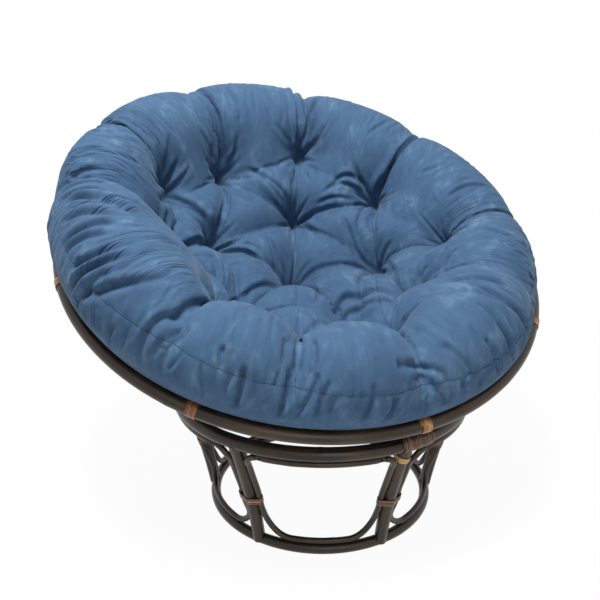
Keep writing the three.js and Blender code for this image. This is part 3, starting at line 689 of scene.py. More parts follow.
def post_girth(height):
    return np.interp(post_share(height), (0, 0.45, 1), (0.0125, 0.0134, 0.0146))


def make_posts():
    heights = np.linspace(POST_FOOT, TOP_HEIGHT, 44)
    for index in range(POST_COUNT):
        middle, _, _, along = post_frame(index, heights)
        head = TOP_GIRTH + (UNDER_PEEL if index == SPLICE_POST else TOUCH)
        path = line(middle, post_girth(heights), phase=0.07 + 0.09 * index)
        pole(f"post_pole_{index + 1}", "stand", "dark_pole", path, 26, 0.31, 0.006, 0.04,
             (TOP_STAND_RING, head, -along[-1]), (BOTTOM_STAND_RING, BOTTOM_GIRTH + TOUCH, along[0]))


def loop_line(index):
    """a panel's thin pole: a rounded trapezoid between two posts, bent round the stand"""
    drop = UNDER_PEEL - TOUCH if index == SPLICE_POST else 0
    crown = TOP_HEIGHT - TOP_GIRTH - LOOP_GIRTH - TOUCH - drop
    sill = BOTTOM_HEIGHT + BOTTOM_GIRTH + LOOP_GIRTH + TOUCH

    def radius_at(height):
        own = post_place(post_share(height))[0][..., 0]
        lift = smooth((height - LOOP_RISE) / (crown - LOOP_RISE))
        sink = 1 - smooth((height - sill) / (LOOP_SINK - sill))
        return own + (TOP_RING - own) * lift + (BOTTOM_RING - own) * sink

    def side_at(height):
        return POST_STEP / 2 - np.arcsin((post_girth(height) + LOOP_GIRTH + TOUCH) / radius_at(height))

    across, up = [], []

    def corner(side, radius, height, way, first, last):
        width = radius / (side_at(height) * radius_at(height))
        turn = np.radians(np.linspace(first, last, 13))
        across.extend(side * (1 - width + width * np.cos(turn)))
        up.extend(height - way * radius * (1 - np.sin(turn)))

    def run(shares, heights):
        across.extend(shares)
        up.extend(heights)

    sill_share = 1 - SILL_BEND / (side_at(sill) * BOTTOM_RING)
    run((1, 1), (BAND_HEIGHT, BAND_HEIGHT + 0.02))
    corner(1, CROWN_BEND, crown, 1, 0, 90)
    run(np.linspace(0.84, -0.84, 15), np.full(15, crown))
    corner(-1, CROWN_BEND, crown, 1, 90, 0)
    run((-1, -1, -1), (BAND_HEIGHT + 0.02, BAND_HEIGHT, BAND_HEIGHT - 0.02))
    corner(-1, SILL_BEND, sill, -1, 0, 90)
    run(np.linspace(-sill_share * 0.8, sill_share * 0.8, 9), np.full(9, sill))
    corner(1, SILL_BEND, sill, -1, 90, 0)
    run((1,), (BAND_HEIGHT - 0.02,))
    across, up = np.array(across), np.array(up)
    angle = post_angle(index) + POST_STEP / 2 + across * side_at(up)
    points = around(radius_at(up), angle, up)
    return line(stand_to_row(points), LOOP_GIRTH, closed=True, phase=0.13 * index)


def make_loops():
    for index in range(POST_COUNT):
        pole(f"panel_loop_pole_{index + 1}", "stand", "thin_pole", loop_line(index), 16, 0.21, 0.004, 0.07)


def make_stand_rings():
    top = ring_line(TOP_RING, TOP_GIRTH, TOP_HEIGHT, post_angle(SPLICE_POST), 216, stand_to_row)
    pole("top_ring_pole", "stand", "dark_pole", top, 28, 0.326, 0.007, 0.03)
    ring = ring_line(BOTTOM_RING, BOTTOM_GIRTH, BOTTOM_HEIGHT, post_angle(3), 180, stand_to_row)
    bottom = pole("bottom_ring_pole", "stand", "dark_pole", ring, 24, 0.3, 0.006, 0.03)
    points = corners(bottom)
    points[:, 2] = np.maximum(points[:, 2], 0)
    move_corners(bottom, points)


def bundle_wrap(index, poles, height, turns, pitch, gap, tints):
    """peel wound round a row of poles at a post; poles are their offsets across the post and their girths"""
    share, tint = winding(turns, 60, tints)
    turn = share * turns * FULL_TURN + 0.7
    side, face = np.cos(turn), np.sin(turn)
    reach = np.stack([offset * side + girth for offset, girth in poles], -1)
    best = np.argmax(reach, -1)
    offset, girth = np.array(poles)[best].T
    girth = girth + gap
    middle, across, out, along = post_frame(index, height)
    lift = (share - 0.5) * turns * pitch
    points = (middle + (offset + girth * side)[:, None] * across + (girth * face)[:, None] * out
              + lift[:, None] * along)
    facing = side[:, None] * across + face[:, None] * out
    return line(points, 1.0, out=facing, tint=tint)


def make_bands():
    chance = np.random.default_rng(5)
    for index in range(POST_COUNT):
        girth = float(post_girth(BAND_HEIGHT))
        away = girth + LOOP_GIRTH + TOUCH
        poles = [(-away, LOOP_GIRTH), (0, girth), (away, LOOP_GIRTH)]
        tints = (0.30, 0.12, 0.34) if index == SPLICE_POST else (0.22, 0.62, 0.16)
        tints = np.asarray(tints) + chance.uniform(-0.06, 0.06, 3)
        path = bundle_wrap(index, poles, BAND_HEIGHT, 2.9, 0.0050, 0.0010, tints)
        wrap(f"post_band_peel_{index + 1}", "stand", "peel", path, 0.0050)
    for order, index in enumerate(STRAP_POSTS):
        girth = float(post_girth(STRAP_HEIGHT))
        path = bundle_wrap(index, [(0, girth)], STRAP_HEIGHT, 2.0, 0.0062, 0.0010, (0.75, 0.62))
        wrap(f"post_strap_peel_{order + 1}", "stand", "pale_peel", path, 0.0066, finish=pale_peel)


SPLICE_TURNS = 16.6


def make_splice():
    chance = np.random.default_rng(8)
    first, last = -0.0135 / TOP_RING, 0.0565 / TOP_RING

    def angle(share):
        return post_angle(SPLICE_POST) + first + (last - first) * share
    centre = lambda share: stand_to_row(around(TOP_RING, angle(share), TOP_HEIGHT))
    side = lambda share: stand_direction(around(1, angle(share), 0))
    over = lambda share: np.broadcast_to((0.0, 0.0, 1.0), (len(share), 3))
    tints = np.tile((0.20, 0.42, 0.30, 0.66, 0.36), 4) + chance.uniform(-0.12, 0.12, 20)
    path = wound(centre, side, over, TOP_GIRTH + 0.0011, SPLICE_TURNS, 24, tints)
    wrap("splice_peel", "stand", "peel", path, 0.0041, sides=8, finish=dull_peel, node="splice_wrap")


def make_nails():
    """steel nails through the ribs where the hoops cross, and brass tacks through the bands and straps"""
    heads = []
    for index in range(RIB_COUNT):
        for radius in HOOPS.values():
            turn = math.asin(radius / HOOP_SPHERE)
            out = bowl_direction(around(math.sin(turn), rib_angle(index), -math.cos(turn)))
            heads.append(line([BOWL_CENTRE + out * (RIB_SPHERE + RIB_GIRTH * 0.96)], 1.0, out=[out]))
    nails = grow("rib_nails", NAIL, heads, {"Radius": 0.0022, "Dome": 0.4, "Finish": dark_steel})
    dress(nails, "bowl", "dark_pole")
    heads = []
    for index in range(POST_COUNT):
        middle, across, out, along = post_frame(index, BAND_HEIGHT)
        lean = unit(out + 0.35 * across)
        reach = float(post_girth(BAND_HEIGHT)) + 0.0017
        heads.append(line([middle + lean * reach - 0.002 * along], 1.0, out=[lean]))
    for index in STRAP_POSTS:
        middle, across, out, along = post_frame(index, STRAP_HEIGHT)
        for turn in (-0.45, 0.35):
            lean = unit(out * math.cos(turn) + across * math.sin(turn))
            heads.append(line([middle + lean * (float(post_girth(STRAP_HEIGHT)) + 0.0016)], 0.8, out=[lean]))
    tacks = grow("stand_tacks", NAIL, heads, {"Radius": 0.0019, "Dome": 0.45, "Finish": brass})
    dress(tacks, "stand", "peel")


make_bowl()
make_rim_bindings()
make_stand_rings()
make_posts()
make_loops()
make_bands()
make_splice()
make_nails()


# The pad. Its cloth is laid flat round its middle: a place on it is a run from the middle and an angle.
PAD_TURN = math.radians(-16)
# The sphere that it rests on, and the radius of the roll round its edge
PAD_SPHERE, ROLL = 0.5617, 0.079
ROLL_CENTRE = math.radians(65.3)
SEAM_TURN = math.radians(64.7)
TOP_SPHERE = PAD_SPHERE - 2 * ROLL
SEAT_RUN = TOP_SPHERE * ROLL_CENTRE
SEAM_RUN = SEAT_RUN + ROLL * (math.pi - SEAM_TURN)
# Runs of the sewn edge and of the end of the seams across the middle, which lie at three places
SEWN_EDGE, PANEL_END, PANEL_SEAMS = 0.632, 0.36, (-0.21, -0.01, 0.20)
# The side below the seam: its run, the part that the cover takes, its two bends and its foot
BELLY_RUN = 0.165
COVER_SHARE = 0.60
COVER_RUN = SEAM_RUN + COVER_SHARE * BELLY_RUN
BELLY_UPPER, BELLY_LOWER = 0.056, 0.050
BELLY_FOOT, FOOT_SPHERE, FOOT_LEAN = math.radians(61.3), 0.570, math.radians(52)
RIM_CLEAR = 0.0155
# How far the underside lies inside its sphere, how much it waves, and where it swells out to its foot
UNDER_SINK, UNDER_WAVE = 0.0014, 0.0012
SWELL_START, SWELL_WIDTH = math.radians(51), math.radians(9)
# The funnel and the pleats that lead into each tuft
FUNNEL_DEPTH, FUNNEL_REACH, PLEATS = 0.016, 0.034, 7
# How far the pad has slid down the bowl, towards which side, and the angle where the slide starts
CREEP, CREEP_SIDE, OUTER_TUFT = math.radians(4.4), math.radians(181), math.radians(52)

# Tufts, as degrees from the bowl's axis and round it; the last ten are the ring nearest the edge
TUFTS = [(3.6, 115), (31.5, 93), (32.2, 162.5), (31, 232), (31, 306), (29.3, 20.6),
         (54.7, 92.2), (50, 130.4), (54, 163), (47, 191), (49.5, 238), (50.5, 267), (49, 301), (40, -20),
         (52.6, 9.5), (46.5, 53)]
VALLEYS = [(0, 1), (0, 2), (0, 3), (0, 4), (0, 5), (1, 6), (1, 7), (1, 15), (2, 7), (2, 8), (2, 9),
           (3, 9), (3, 10), (3, 11), (4, 11), (4, 12), (4, 13), (5, 13), (5, 14), (5, 15),
           (1, 2), (2, 3), (3, 4), (4, 5), (5, 1)]
EDGE_TUFTS = list(range(6, 16))
# The way each edge tuft's valley leaves over the roll, in degrees, where it isn't straight out
VALLEY_ENDS = {9: 187, 10: 243, 11: 267, 12: 293}


def heading_of(angle):
    return np.array((math.cos(angle), math.sin(angle)))


tuft_places = [math.radians(away) * TOP_SPHERE * heading_of(math.radians(angle)) for away, angle in TUFTS]


def creep(theta, angle):
    """how far the pad has slid down the bowl on its low side"""
    share = np.clip((theta - OUTER_TUFT) / (ROLL_CENTRE - OUTER_TUFT), 0, 1)
    return CREEP * np.cos(angle - CREEP_SIDE) * share


def roll_at(angle):
    """where the edge roll's middle lies at each angle, after the pad's slide"""
    roll = np.full_like(angle, ROLL_CENTRE)
    return roll + creep(roll, angle)


def slope_directions(theta):
    return np.stack([np.sin(theta), -np.cos(theta)], -1), np.stack([np.cos(theta), np.sin(theta)], -1)


def belly(share, theta):
    """the pad's side from its seam down over the rim to its foot, as radius and height in the bowl"""
    away, round_ = slope_directions(theta)
    c, s = math.cos(SEAM_TURN), math.sin(SEAM_TURN)
    seam = away * (PAD_SPHERE - ROLL) + ROLL * (c * away + s * round_)
    upper = seam + BELLY_UPPER * (s * away - c * round_)
    foot = slope_directions(np.full_like(theta, BELLY_FOOT))[0] * FOOT_SPHERE
    lower = foot + BELLY_LOWER * heading_of(FOOT_LEAN)
    t = share[..., None]
    place = (1 - t) ** 3 * seam + 3 * (1 - t) ** 2 * t * upper + 3 * (1 - t) * t * t * lower + t ** 3 * foot
    rim = np.array((RIM_RADIUS, -RIM_DROP))
    off = place - rim
    return rim + off * np.maximum(1, RIM_CLEAR / np.linalg.norm(off, axis=-1, keepdims=True))


def eased(share):
    """a share of the way down the side that moves faster near the seam"""
    return share + 0.25 * share * (1 - share)


def spun(flat, angle):
    return np.stack([flat[..., 0] * np.cos(angle), flat[..., 0] * np.sin(angle), flat[..., 1]], -1)


def bare_cover(run, angle):
    """place and outward direction on the cover before it is stuffed and tufted"""
    theta = np.minimum(run, SEAT_RUN) / TOP_SPHERE
    turn = math.pi - np.clip((run - SEAT_RUN) / ROLL, 0, None)
    away, round_ = slope_directions(theta + creep(theta, angle))
    face = away * np.cos(turn)[..., None] + round_ * np.sin(turn)[..., None]
    upper = away * (PAD_SPHERE - ROLL) + ROLL * face
    share = eased(np.clip((run - SEAM_RUN) / BELLY_RUN, 0, 1))
    roll = roll_at(angle)
    lower = belly(share, roll)
    ahead = unit(belly(np.clip(share + 0.01, 0, 1.2), roll) - lower)
    past = (run > SEAM_RUN)[..., None]
    facing = np.where(past, np.stack([-ahead[..., 1], ahead[..., 0]], -1), face)
    return spun(np.where(past, lower, upper), angle), spun(facing, angle)


def cloth_grid(count):
    """an even square net of corners pushed out to a disc, as run and angle"""
    step = np.linspace(-1, 1, count)
    u, v = np.meshgrid(step, step, indexing="ij")
    x, y = u * np.sqrt(1 - v * v / 2), v * np.sqrt(1 - u * u / 2)
    return np.hypot(x, y) * COVER_RUN, np.arctan2(y, x)


def between(field, row, column):
    """values of a grid between its corners"""
    size = field.shape[0]
    i = np.clip(np.floor(row).astype(int), 0, size - 2)
    j = np.clip(np.floor(column).astype(int), 0, size - 2)
    u, v = row - i, column - j
    return (field[i, j] * (1 - u) * (1 - v) + field[i + 1, j] * u * (1 - v)
            + field[i, j + 1] * (1 - u) * v + field[i + 1, j + 1] * u * v)


def from_line(places, start, end):
    """distance from a straight line and the share along it"""
    along = end - start
    share = np.clip(((places - start) @ along) / (along @ along), 0, 1)
    return np.linalg.norm(places - start - share[..., None] * along, axis=-1), share


def stuffing(seat=0.122, roll=0.0205, pit=0.036, edge_pit=0.046, valley=-0.008, edge_valley=-0.036,
             front_drop=0.016, hold=3200, tuft_hold=4e5, spread=0.047):
    """how high the stuffing lifts the cover: a skin pulled down at the tufts and along the valleys"""
    skin = None
    for cells, rounds in ((61, 400), (121, 300), (241, 200)):
        axis = np.linspace(-COVER_RUN, COVER_RUN, cells)
        step = axis[1] - axis[0]
        places = np.stack(np.meshgrid(axis, axis, indexing="ij"), -1)
        run = np.hypot(places[..., 0], places[..., 1])
        crown = roll + (seat - roll) * smooth((SEAT_RUN - 0.02 - run) / 0.16)
        crown = crown * smooth((SEAM_RUN + 0.03 - run) / 0.05)
        weight = np.full_like(run, 1 / spread ** 2)
        pull = weight * crown
        width = max(0.008, 0.9 * step)
        lines = [(tuft_places[a], tuft_places[b], 1.0, valley, True) for a, b in VALLEYS]
        ring = EDGE_TUFTS + EDGE_TUFTS[:1]
        lines += [(tuft_places[a], tuft_places[b], 0.5, valley, True) for a, b in zip(ring, ring[1:])]
        for tuft in EDGE_TUFTS:
            start = tuft_places[tuft]
            end = (SEAM_RUN + 0.01) * heading_of(math.radians(VALLEY_ENDS.get(tuft, TUFTS[tuft][1])))
            strength, drop = (1.6, front_drop) if tuft in VALLEY_ENDS else (0.8, 0)
            lines.append((start, end, strength, edge_valley - drop, False))
        for start, end, strength, depth, both in lines:
            off, share = from_line(places, start, end)
            near_end = np.minimum(share, 1 - share) if both else share
            reach = near_end * np.linalg.norm(end - start)
            fade = np.exp(-reach / 0.05)
            force = hold * strength * (1 + 2 * fade) * np.exp(-(off / width) ** 2)
            weight = weight + force
            pull = pull + force * (depth + (-pit - depth) * fade)
        for index, tuft in enumerate(tuft_places):
            off = np.linalg.norm(places - tuft, axis=-1)
            force = tuft_hold * np.exp(-(off / max(0.006, 0.7 * step)) ** 2)
            weight, pull = weight + force, pull - force * (edge_pit if index in EDGE_TUFTS else pit)
        if skin is None:
            skin = crown * 0.5
        else:
            spots = np.linspace(0, skin.shape[0] - 1, cells)
            skin = between(skin, *np.meshgrid(spots, spots, indexing="ij"))
        target = pull / weight
        for _ in range(rounds):
            near = np.zeros_like(skin)
            near[1:-1, 1:-1] = skin[2:, 1:-1] + skin[:-2, 1:-1] + skin[1:-1, 2:] + skin[1:-1, :-2]
            for border in (0, -1):
                near[border], near[:, border] = 4 * skin[border], 4 * skin[:, border]
            skin = (near + step * step * weight * target) / (4 + step * step * weight)
    return skin


def stuffed_cover(count):
    """the cover over its stuffing, with the small pleats that gather into each tuft"""
    run, angle = cloth_grid(count)
    place, facing = bare_cover(run, angle)
    flat = np.stack([run * np.cos(angle), run * np.sin(angle)], -1)
    skin = stuffing()
    scale = (skin.shape[0] - 1) / (2 * COVER_RUN)
    height = between(skin, (flat[..., 0] + COVER_RUN) * scale, (flat[..., 1] + COVER_RUN) * scale)
    chance = np.random.default_rng(3)
    for tuft in tuft_places:
        off = np.linalg.norm(flat - tuft, axis=-1)
        height = height - FUNNEL_DEPTH * np.exp(-(off / FUNNEL_REACH) ** 2)
        turn = np.arctan2(flat[..., 1] - tuft[1], flat[..., 0] - tuft[0])
        first = chance.uniform(0, FULL_TURN)
        for index in range(PLEATS):
            lean = chance.uniform(-6, 6)
            own = first + index * FULL_TURN / PLEATS + chance.uniform(-0.35, 0.35)
            aside = np.angle(np.exp(1j * (turn - own - lean * off)))
            width = 0.10 + 0.003 / (off + 0.01)
            reach, depth = chance.uniform(0.03, 0.075), chance.uniform(0.003, 0.009)
            height = height - depth * np.exp(-(aside / width) ** 2 - (off / reach) ** 2) * smooth(off / 0.015)
    return run, angle, flat, place + facing * height[..., None]


def net_faces(count):
    corner = np.arange(count * count).reshape(count, count)
    return np.stack([corner[:-1, :-1], corner[1:, :-1], corner[1:, 1:], corner[:-1, 1:]], -1).reshape(-1, 4)


def swell(run, flat, cover, frames=22, pressure=300, most=0.06):
    """blows the cover up as cloth, held at its tufts and its lower edge; no corner moves past a limit"""
    count = cover.shape[0]
    mesh = bpy.data.meshes.new("cloth")
    mesh.from_pydata(cover.reshape(-1, 3).tolist(), [], net_faces(count).tolist())
    cloth = placed_object("cloth", mesh)
    scene = bpy.context.scene
    cloth.shape_key_add(name="Basis")
    cut = cloth.shape_key_add(name="cut")
    spare = (0.05 + 0.05 * smooth((run - 0.15) / 0.30))[..., None]
    wide = cover * np.concatenate([1 + spare, 1 + spare, np.full_like(spare, 1.05)], -1)
    cut.data.foreach_set("co", wide.reshape(-1).astype(np.float32))
    cut.value = 0
    near = np.min([np.linalg.norm(flat - tuft, axis=-1) for tuft in tuft_places], axis=0)
    held = (near < 0.010) | (run > 0.985 * COVER_RUN)
    group = cloth.vertex_groups.new(name="held")
    group.add(np.flatnonzero(held.reshape(-1)).tolist(), 1.0, "REPLACE")
    modifier = cloth.modifiers.new("Cloth", "CLOTH")
    wanted = {"quality": 6, "mass": 0.25, "air_damping": 2, "tension_stiffness": 20,
              "compression_stiffness": 20, "shear_stiffness": 8, "bending_stiffness": 0.1,
              "tension_damping": 5, "compression_damping": 5, "shear_damping": 5, "bending_damping": 0.5,
              "use_pressure": True, "uniform_pressure_force": pressure, "vertex_group_mass": "held",
              "pin_stiffness": 1}
    for name, value in wanted.items():
        setattr(modifier.settings, name, value)
    modifier.settings.rest_shape_key = cut
    modifier.settings.effector_weights.gravity = 0
    modifier.collision_settings.use_collision = False
    modifier.point_cache.frame_start, modifier.point_cache.frame_end = 1, frames
    for frame_number in range(1, frames + 1):
        scene.frame_set(frame_number)
    blown = cloth.evaluated_get(bpy.context.evaluated_depsgraph_get())
    points = np.empty(count * count * 3, np.float32)
    blown.data.vertices.foreach_get("co", points)
    bpy.data.objects.remove(cloth)
    scene.frame_set(1)
    move = points.reshape(count, count, 3).astype(float) - cover
    length = np.linalg.norm(move, axis=-1, keepdims=True)
    return cover + move * np.minimum(1, most / np.maximum(length, 1e-9))


def finer(grid, count):
    """a smooth grid through the same corners with more corners between them"""
    for axis in (0, 1):
        grid = np.swapaxes(grid, 0, axis)
        place = np.linspace(0, grid.shape[0] - 1, count)
        i = np.clip(np.floor(place).astype(int), 0, grid.shape[0] - 2)
        t = (place - i)[:, None, None]
        before, after = np.maximum(i - 1, 0), np.minimum(i + 2, grid.shape[0] - 1)
        a, b, c, d = grid[before], grid[i], grid[i + 1], grid[after]
        grid = 0.5 * (2 * b + (c - a) * t + (2 * a - 5 * b + 4 * c - d) * t ** 2
                      + (3 * b - a - 3 * c + d) * t ** 3)
        grid = np.swapaxes(grid, 0, axis)
    return grid


def facing_of(grid):
    across = np.gradient(grid, axis=0)
    along = np.gradient(grid, axis=1)
    return unit(np.cross(across, along))


# Folds of the cover: x and y of the start, middle and end in centimetres on the flat cloth, then the depth
# and the width in millimetres; each depth is taken times the strength
FOLD_STRENGTH = 1.25
FOLDS = [
    (-23, 28, -29, 37, -39, 51, 13, 8), (-23, 40, -24, 43, -27, 46, 4, 7),
    (-2, 39, -5, 52, -8, 68, 12, 8), (-1, 43, 0, 50, 4, 58, 7, 7), (0, 40, 1, 45, 3, 51, 5, 6),
    (-40, 12, -49, 14, -62, 24, 12, 8), (-49, 4, -51, 8, -55, 17, 5, 6),
    (-22, 27, -19, 22, -16, 20, 6, 7), (-18, 31, -10, 29, -3, 24, 6, 7), (-15, 30, -9, 27, -3, 23, 5, 6),
    (-2, 38, -3, 31, -2, 23, 6, 7), (-5, 34, -3, 28, -2, 23, 4, 6), (-36, 13, -30, 11, -22, 8, 7, 8),
    (-31, 16, -28, 12, -25, 9, 4, 7), (-41, 0, -39, 5, -37, 10, 4, 8), (-31, -4, -27, 2, -22, 6, 5, 7),
    (-21, 6, -14, 6, -7, -1, 6, 7), (-20, 8, -14, 8, -9, 5, 4, 6), (-10, 12, -7, 7, -4, 1, 7, 7),
    (-27, -4, -23, -8, -20, -16, 6, 7), (-25, 0, -20, -4, -17, -13, 4, 6),
    (-23, 1, -21, -5, -19, -14, 4, 6), (-13, -1, -9, 1, -6, -1, 4, 6), (-17, -16, -12, -10, -4, -3, 6, 7),
    (20, 27, 28, 36, 40, 50, 13, 8), (8, 30, 14, 33, 19, 27, 6, 7), (6, 28, 12, 31, 18, 27, 5, 6),
    (4, 25, 10, 27, 16, 26, 4, 6), (18, 26, 17, 20, 17, 15, 5, 6), (20, 26, 21, 18, 20, 11, 5, 6),
    (12, 21, 14, 15, 16, 8, 7, 8), (1, 22, 3, 19, 6, 15, 6, 7), (38, 5, 50, 7, 66, 12, 13, 8),
    (44, 16, 49, 18, 54, 17, 5, 6), (37, 29, 40, 28, 44, 29, 3, 6), (19, 44, 23, 46, 27, 49, 3, 6),
    (23, 6, 24, 1, 25, -3, 5, 7), (50, -3, 55, -7, 61, -7, 5, 6), (52, -9, 55, -12, 60, -15, 5, 6),
    (44, -8, 38, -11, 32, -20, 7, 9), (38, -29, 43, -28, 51, -29, 7, 7),
    (41, -32, 47, -34, 56, -36, 8, 7), (35, -35, 41, -34, 47, -36, 5, 6),
    (39, -37, 43, -41, 48, -44, 7, 7), (38, -45, 41, -47, 47, -50, 6, 7),
    (42, -40, 46, -43, 51, -44, 6, 6), (8, -15, 14, -9, 25, -10, 9, 8), (10, -15, 15, -12, 21, -13, 5, 6),
    (12, -60, 13, -63, 12, -66, 3, 7), (17, -57, 24, -55, 32, -56, 5, 8),
    (21, -58, 26, -57, 32, -58, 4, 7), (27, -50, 32, -51, 37, -54, 4, 7),
    (25, -58, 30, -59, 34, -64, 5, 7), (20, -33, 21, -47, 26, -62, 6, 8),
    (-19, -31, -25, -45, -31, -54, 5, 8), (-2, -37, -3, -50, -4, -64, 4, 8),
    (28, -55, 32, -58, 35, -62, 3, 6), (26, -61, 28, -64, 29, -68, 4, 7), (-4, -1, 1, -7, 4, -15, 7, 7),
    (4, -4, 5, -10, 4, -15, 5, 6), (-6, -54, -6, -57, -6, -60, 4, 7), (-1, -53, 0, -58, -3, -67, 5, 7),
    (1, -60, 0, -64, -4, -71, 7, 7), (2, -62, 2, -65, 1, -68, 5, 6), (13, -62, 12, -65, 12, -69, 6, 6),
    (18, -61, 18, -64, 17, -70, 7, 7), (17, -55, 19, -58, 20, -60, 5, 7),
    (-27, -51, -33, -53, -37, -60, 7, 9), (-40, -51, -44, -53, -45, -56, 5, 6),
    (-31, -56, -31, -58, -32, -63, 5, 6), (-29, -56, -30, -58, -30, -61, 4, 6),
    (-14, -60, -14, -64, -18, -70, 9, 7), (-18, -57, -18, -59, -18, -61, 7, 7),
    (-5, -60, -5, -65, -8, -72, 9, 7), (-53, -44, -47, -43, -40, -42, 7, 7),
    (-53, -41, -45, -40, -38, -39, 6, 7), (-50, -42, -42, -45, -30, -44, 9, 8),
    (-60, 10, -57, 10, -52, 8, 4, 6), (-62, -2, -58, 1, -53, -1, 5, 6), (-62, -7, -59, -5, -52, -5, 5, 6),
    (-60, -16, -56, -14, -48, -14, 8, 7), (-60, -19, -55, -18, -49, -19, 6, 6),
    (-57, -21, -50, -22, -40, -29, 10, 8), (-55, -24, -51, -23, -44, -28, 5, 6),
    (-56, -27, -52, -26, -45, -29, 7, 7), (-55, -32, -49, -30, -45, -31, 7, 7),
    (-54, -34, -49, -33, -44, -34, 5, 6), (-52, -37, -47, -38, -40, -36, 8, 7),
    (-51, -40, -48, -40, -41, -39, 5, 6),
]


def bend(start, middle, end, steps=14):
    start, middle, end = (np.asarray(point, float) for point in (start, middle, end))
    pull = 2 * middle - (start + end) / 2
    t = np.linspace(0, 1, steps)[:, None]
    return (1 - t) ** 2 * start + 2 * t * (1 - t) * pull + t * t * end


def press_fold(depths, flat, path, depth, width):
    """lowers the cloth along a bent line and lifts a soft lip beside it, higher on one side"""
    reach = 4.5 * width
    inside = np.all((flat > path.min(0) - reach) & (flat < path.max(0) + reach), axis=-1)
    near = np.flatnonzero(inside)
    spots = flat[near]
    aside, share = np.full(len(near), 9.0), np.zeros(len(near))
    steps = len(path) - 1
    for index, (start, end) in enumerate(zip(path, path[1:])):
        along = end - start
        t = np.clip(((spots - start) @ along) / (along @ along), 0, 1)
        off = spots - start - t[:, None] * along
        side = np.where(along[0] * off[:, 1] - along[1] * off[:, 0] < 0, -1.0, 1.0)
        away = np.hypot(off[:, 0], off[:, 1])
        closer = away < np.abs(aside)
        aside = np.where(closer, side * away, aside)
        share = np.where(closer, (index + t) / steps, share)
    fade = smooth((share + 0.03) / 0.22) * smooth((1.03 - share) / 0.4)
    x = aside / width
    shape = -np.exp(-x * x) + 0.50 * np.exp(-((x - 1.9) / 1.3) ** 2) + 0.22 * np.exp(-((x + 1.9) / 1.3) ** 2)
    depths[near] += depth * fade * shape


def fold_depths(flat):
    """the folds above, and seeded wrinkles on the roll, at the sewn edge, round tufts and in valleys"""
    places = flat.reshape(-1, 2)
    depths = np.zeros(len(places))
    for *ends, depth, width in FOLDS:
        path = bend(ends[:2], ends[2:4], ends[4:]) / 100
        press_fold(depths, places, path, FOLD_STRENGTH * depth / 1000, width / 1000)
    chance = np.random.default_rng(21)

    def wrinkle(angle, run, length, lean, depth, width):
        start = np.array((run, angle))
        end = np.array((run + length, angle + lean))
        middle = (start + end) / 2 + (0, chance.uniform(-0.012, 0.012))
        path = bend(*(reach * heading_of(way) for reach, way in (start, middle, end)))
        press_fold(depths, places, path, depth, width)

    for angle in np.arange(150) * FULL_TURN / 150:
        angle = angle + chance.uniform(-0.015, 0.015)
        left = 0.5 - 0.5 * math.cos(angle)
        length, lean = chance.uniform(0.04, 0.12), chance.uniform(-0.05, 0.05)
        depth = chance.uniform(0.0008, 0.0032) * (0.4 + 0.7 * left)
        wrinkle(angle, chance.uniform(0.45, 0.58), length, lean, depth, chance.uniform(0.0045, 0.0075))
    for angle in np.arange(120) * FULL_TURN / 120:
        angle = angle + chance.uniform(-0.02, 0.02)
        lean, depth = chance.uniform(-0.035, 0.035), chance.uniform(0.0012, 0.0050)
        if chance.random() < 0.62:
            length = chance.uniform(0.025, 0.085)
            wrinkle(angle, SEWN_EDGE - 0.002, length, lean, depth, chance.uniform(0.0045, 0.007))
        else:
            length = -chance.uniform(0.02, 0.06)
            wrinkle(angle, SEWN_EDGE, length, lean, depth * 0.8, chance.uniform(0.0045, 0.006))
    for tuft in EDGE_TUFTS:
        start = tuft_places[tuft]
        heading = math.atan2(start[1], start[0])
        for _ in range(7):
            turn = heading + chance.uniform(-1.15, 1.15)
            near, far = chance.uniform(0.02, 0.05), chance.uniform(0.08, 0.15)
            twist = chance.uniform(-0.25, 0.25)
            path = bend(*(start + reach * heading_of(turn + lean)
                          for reach, lean in ((near, 0), ((near + far) / 2, twist * 0.6), (far, twist))))
            press_fold(depths, places, path, chance.uniform(0.0020, 0.0055), chance.uniform(0.005, 0.007))
    for tuft, start in enumerate(tuft_places):
        first = chance.uniform(0, FULL_TURN)
        for index in range(8):
            turn = first + index * FULL_TURN / 8 + chance.uniform(-0.3, 0.3)
            far, twist = chance.uniform(0.05, 0.10), chance.uniform(-0.25, 0.25)
            path = bend(*(start + reach * heading_of(turn + lean)
                          for reach, lean in ((0.008, 0), (far / 2, twist / 2), (far, twist))))
            press_fold(depths, places, path, chance.uniform(0.0020, 0.0048), chance.uniform(0.0042, 0.0058))
    for one, other in VALLEYS:
        for start, end in ((tuft_places[one], tuft_places[other]), (tuft_places[other], tuft_places[one])):
            aside = np.array((start[1] - end[1], end[0] - start[0])) * chance.uniform(-0.05, 0.05)
            spots = (start, start + 0.3 * (end - start) + aside, start + 0.6 * (end - start) + 0.6 * aside)
            press_fold(depths, places, bend(*spots), chance.uniform(0.003, 0.005), 0.0055)
    run = np.hypot(places[:, 0], places[:, 1])
    depths -= 0.0016 * np.exp(-((run - SEWN_EDGE) / 0.003) ** 2)
    for side in PANEL_SEAMS:
        depths -= 0.0011 * np.exp(-((places[:, 0] - side) / 0.003) ** 2) * (run < PANEL_END)
    return depths.reshape(flat.shape[:2])


def clear_of_rim(points):
    """keeps the pad's corners, given in the pad's own frame, off the rim and its bindings"""
    reach = np.hypot(points[..., 0], points[..., 1])
    off = np.stack([reach - RIM_RADIUS, points[..., 2] + RIM_DROP], -1)
    distance = np.linalg.norm(off, axis=-1, keepdims=True)
    off = off * np.maximum(1, RIM_CLEAR / np.maximum(distance, 1e-9))
    new = RIM_RADIUS + off[..., 0]
    points = points * np.stack([new / reach, new / reach, np.ones_like(new)], -1)
    points[..., 2] = off[..., 1] - RIM_DROP
    return points


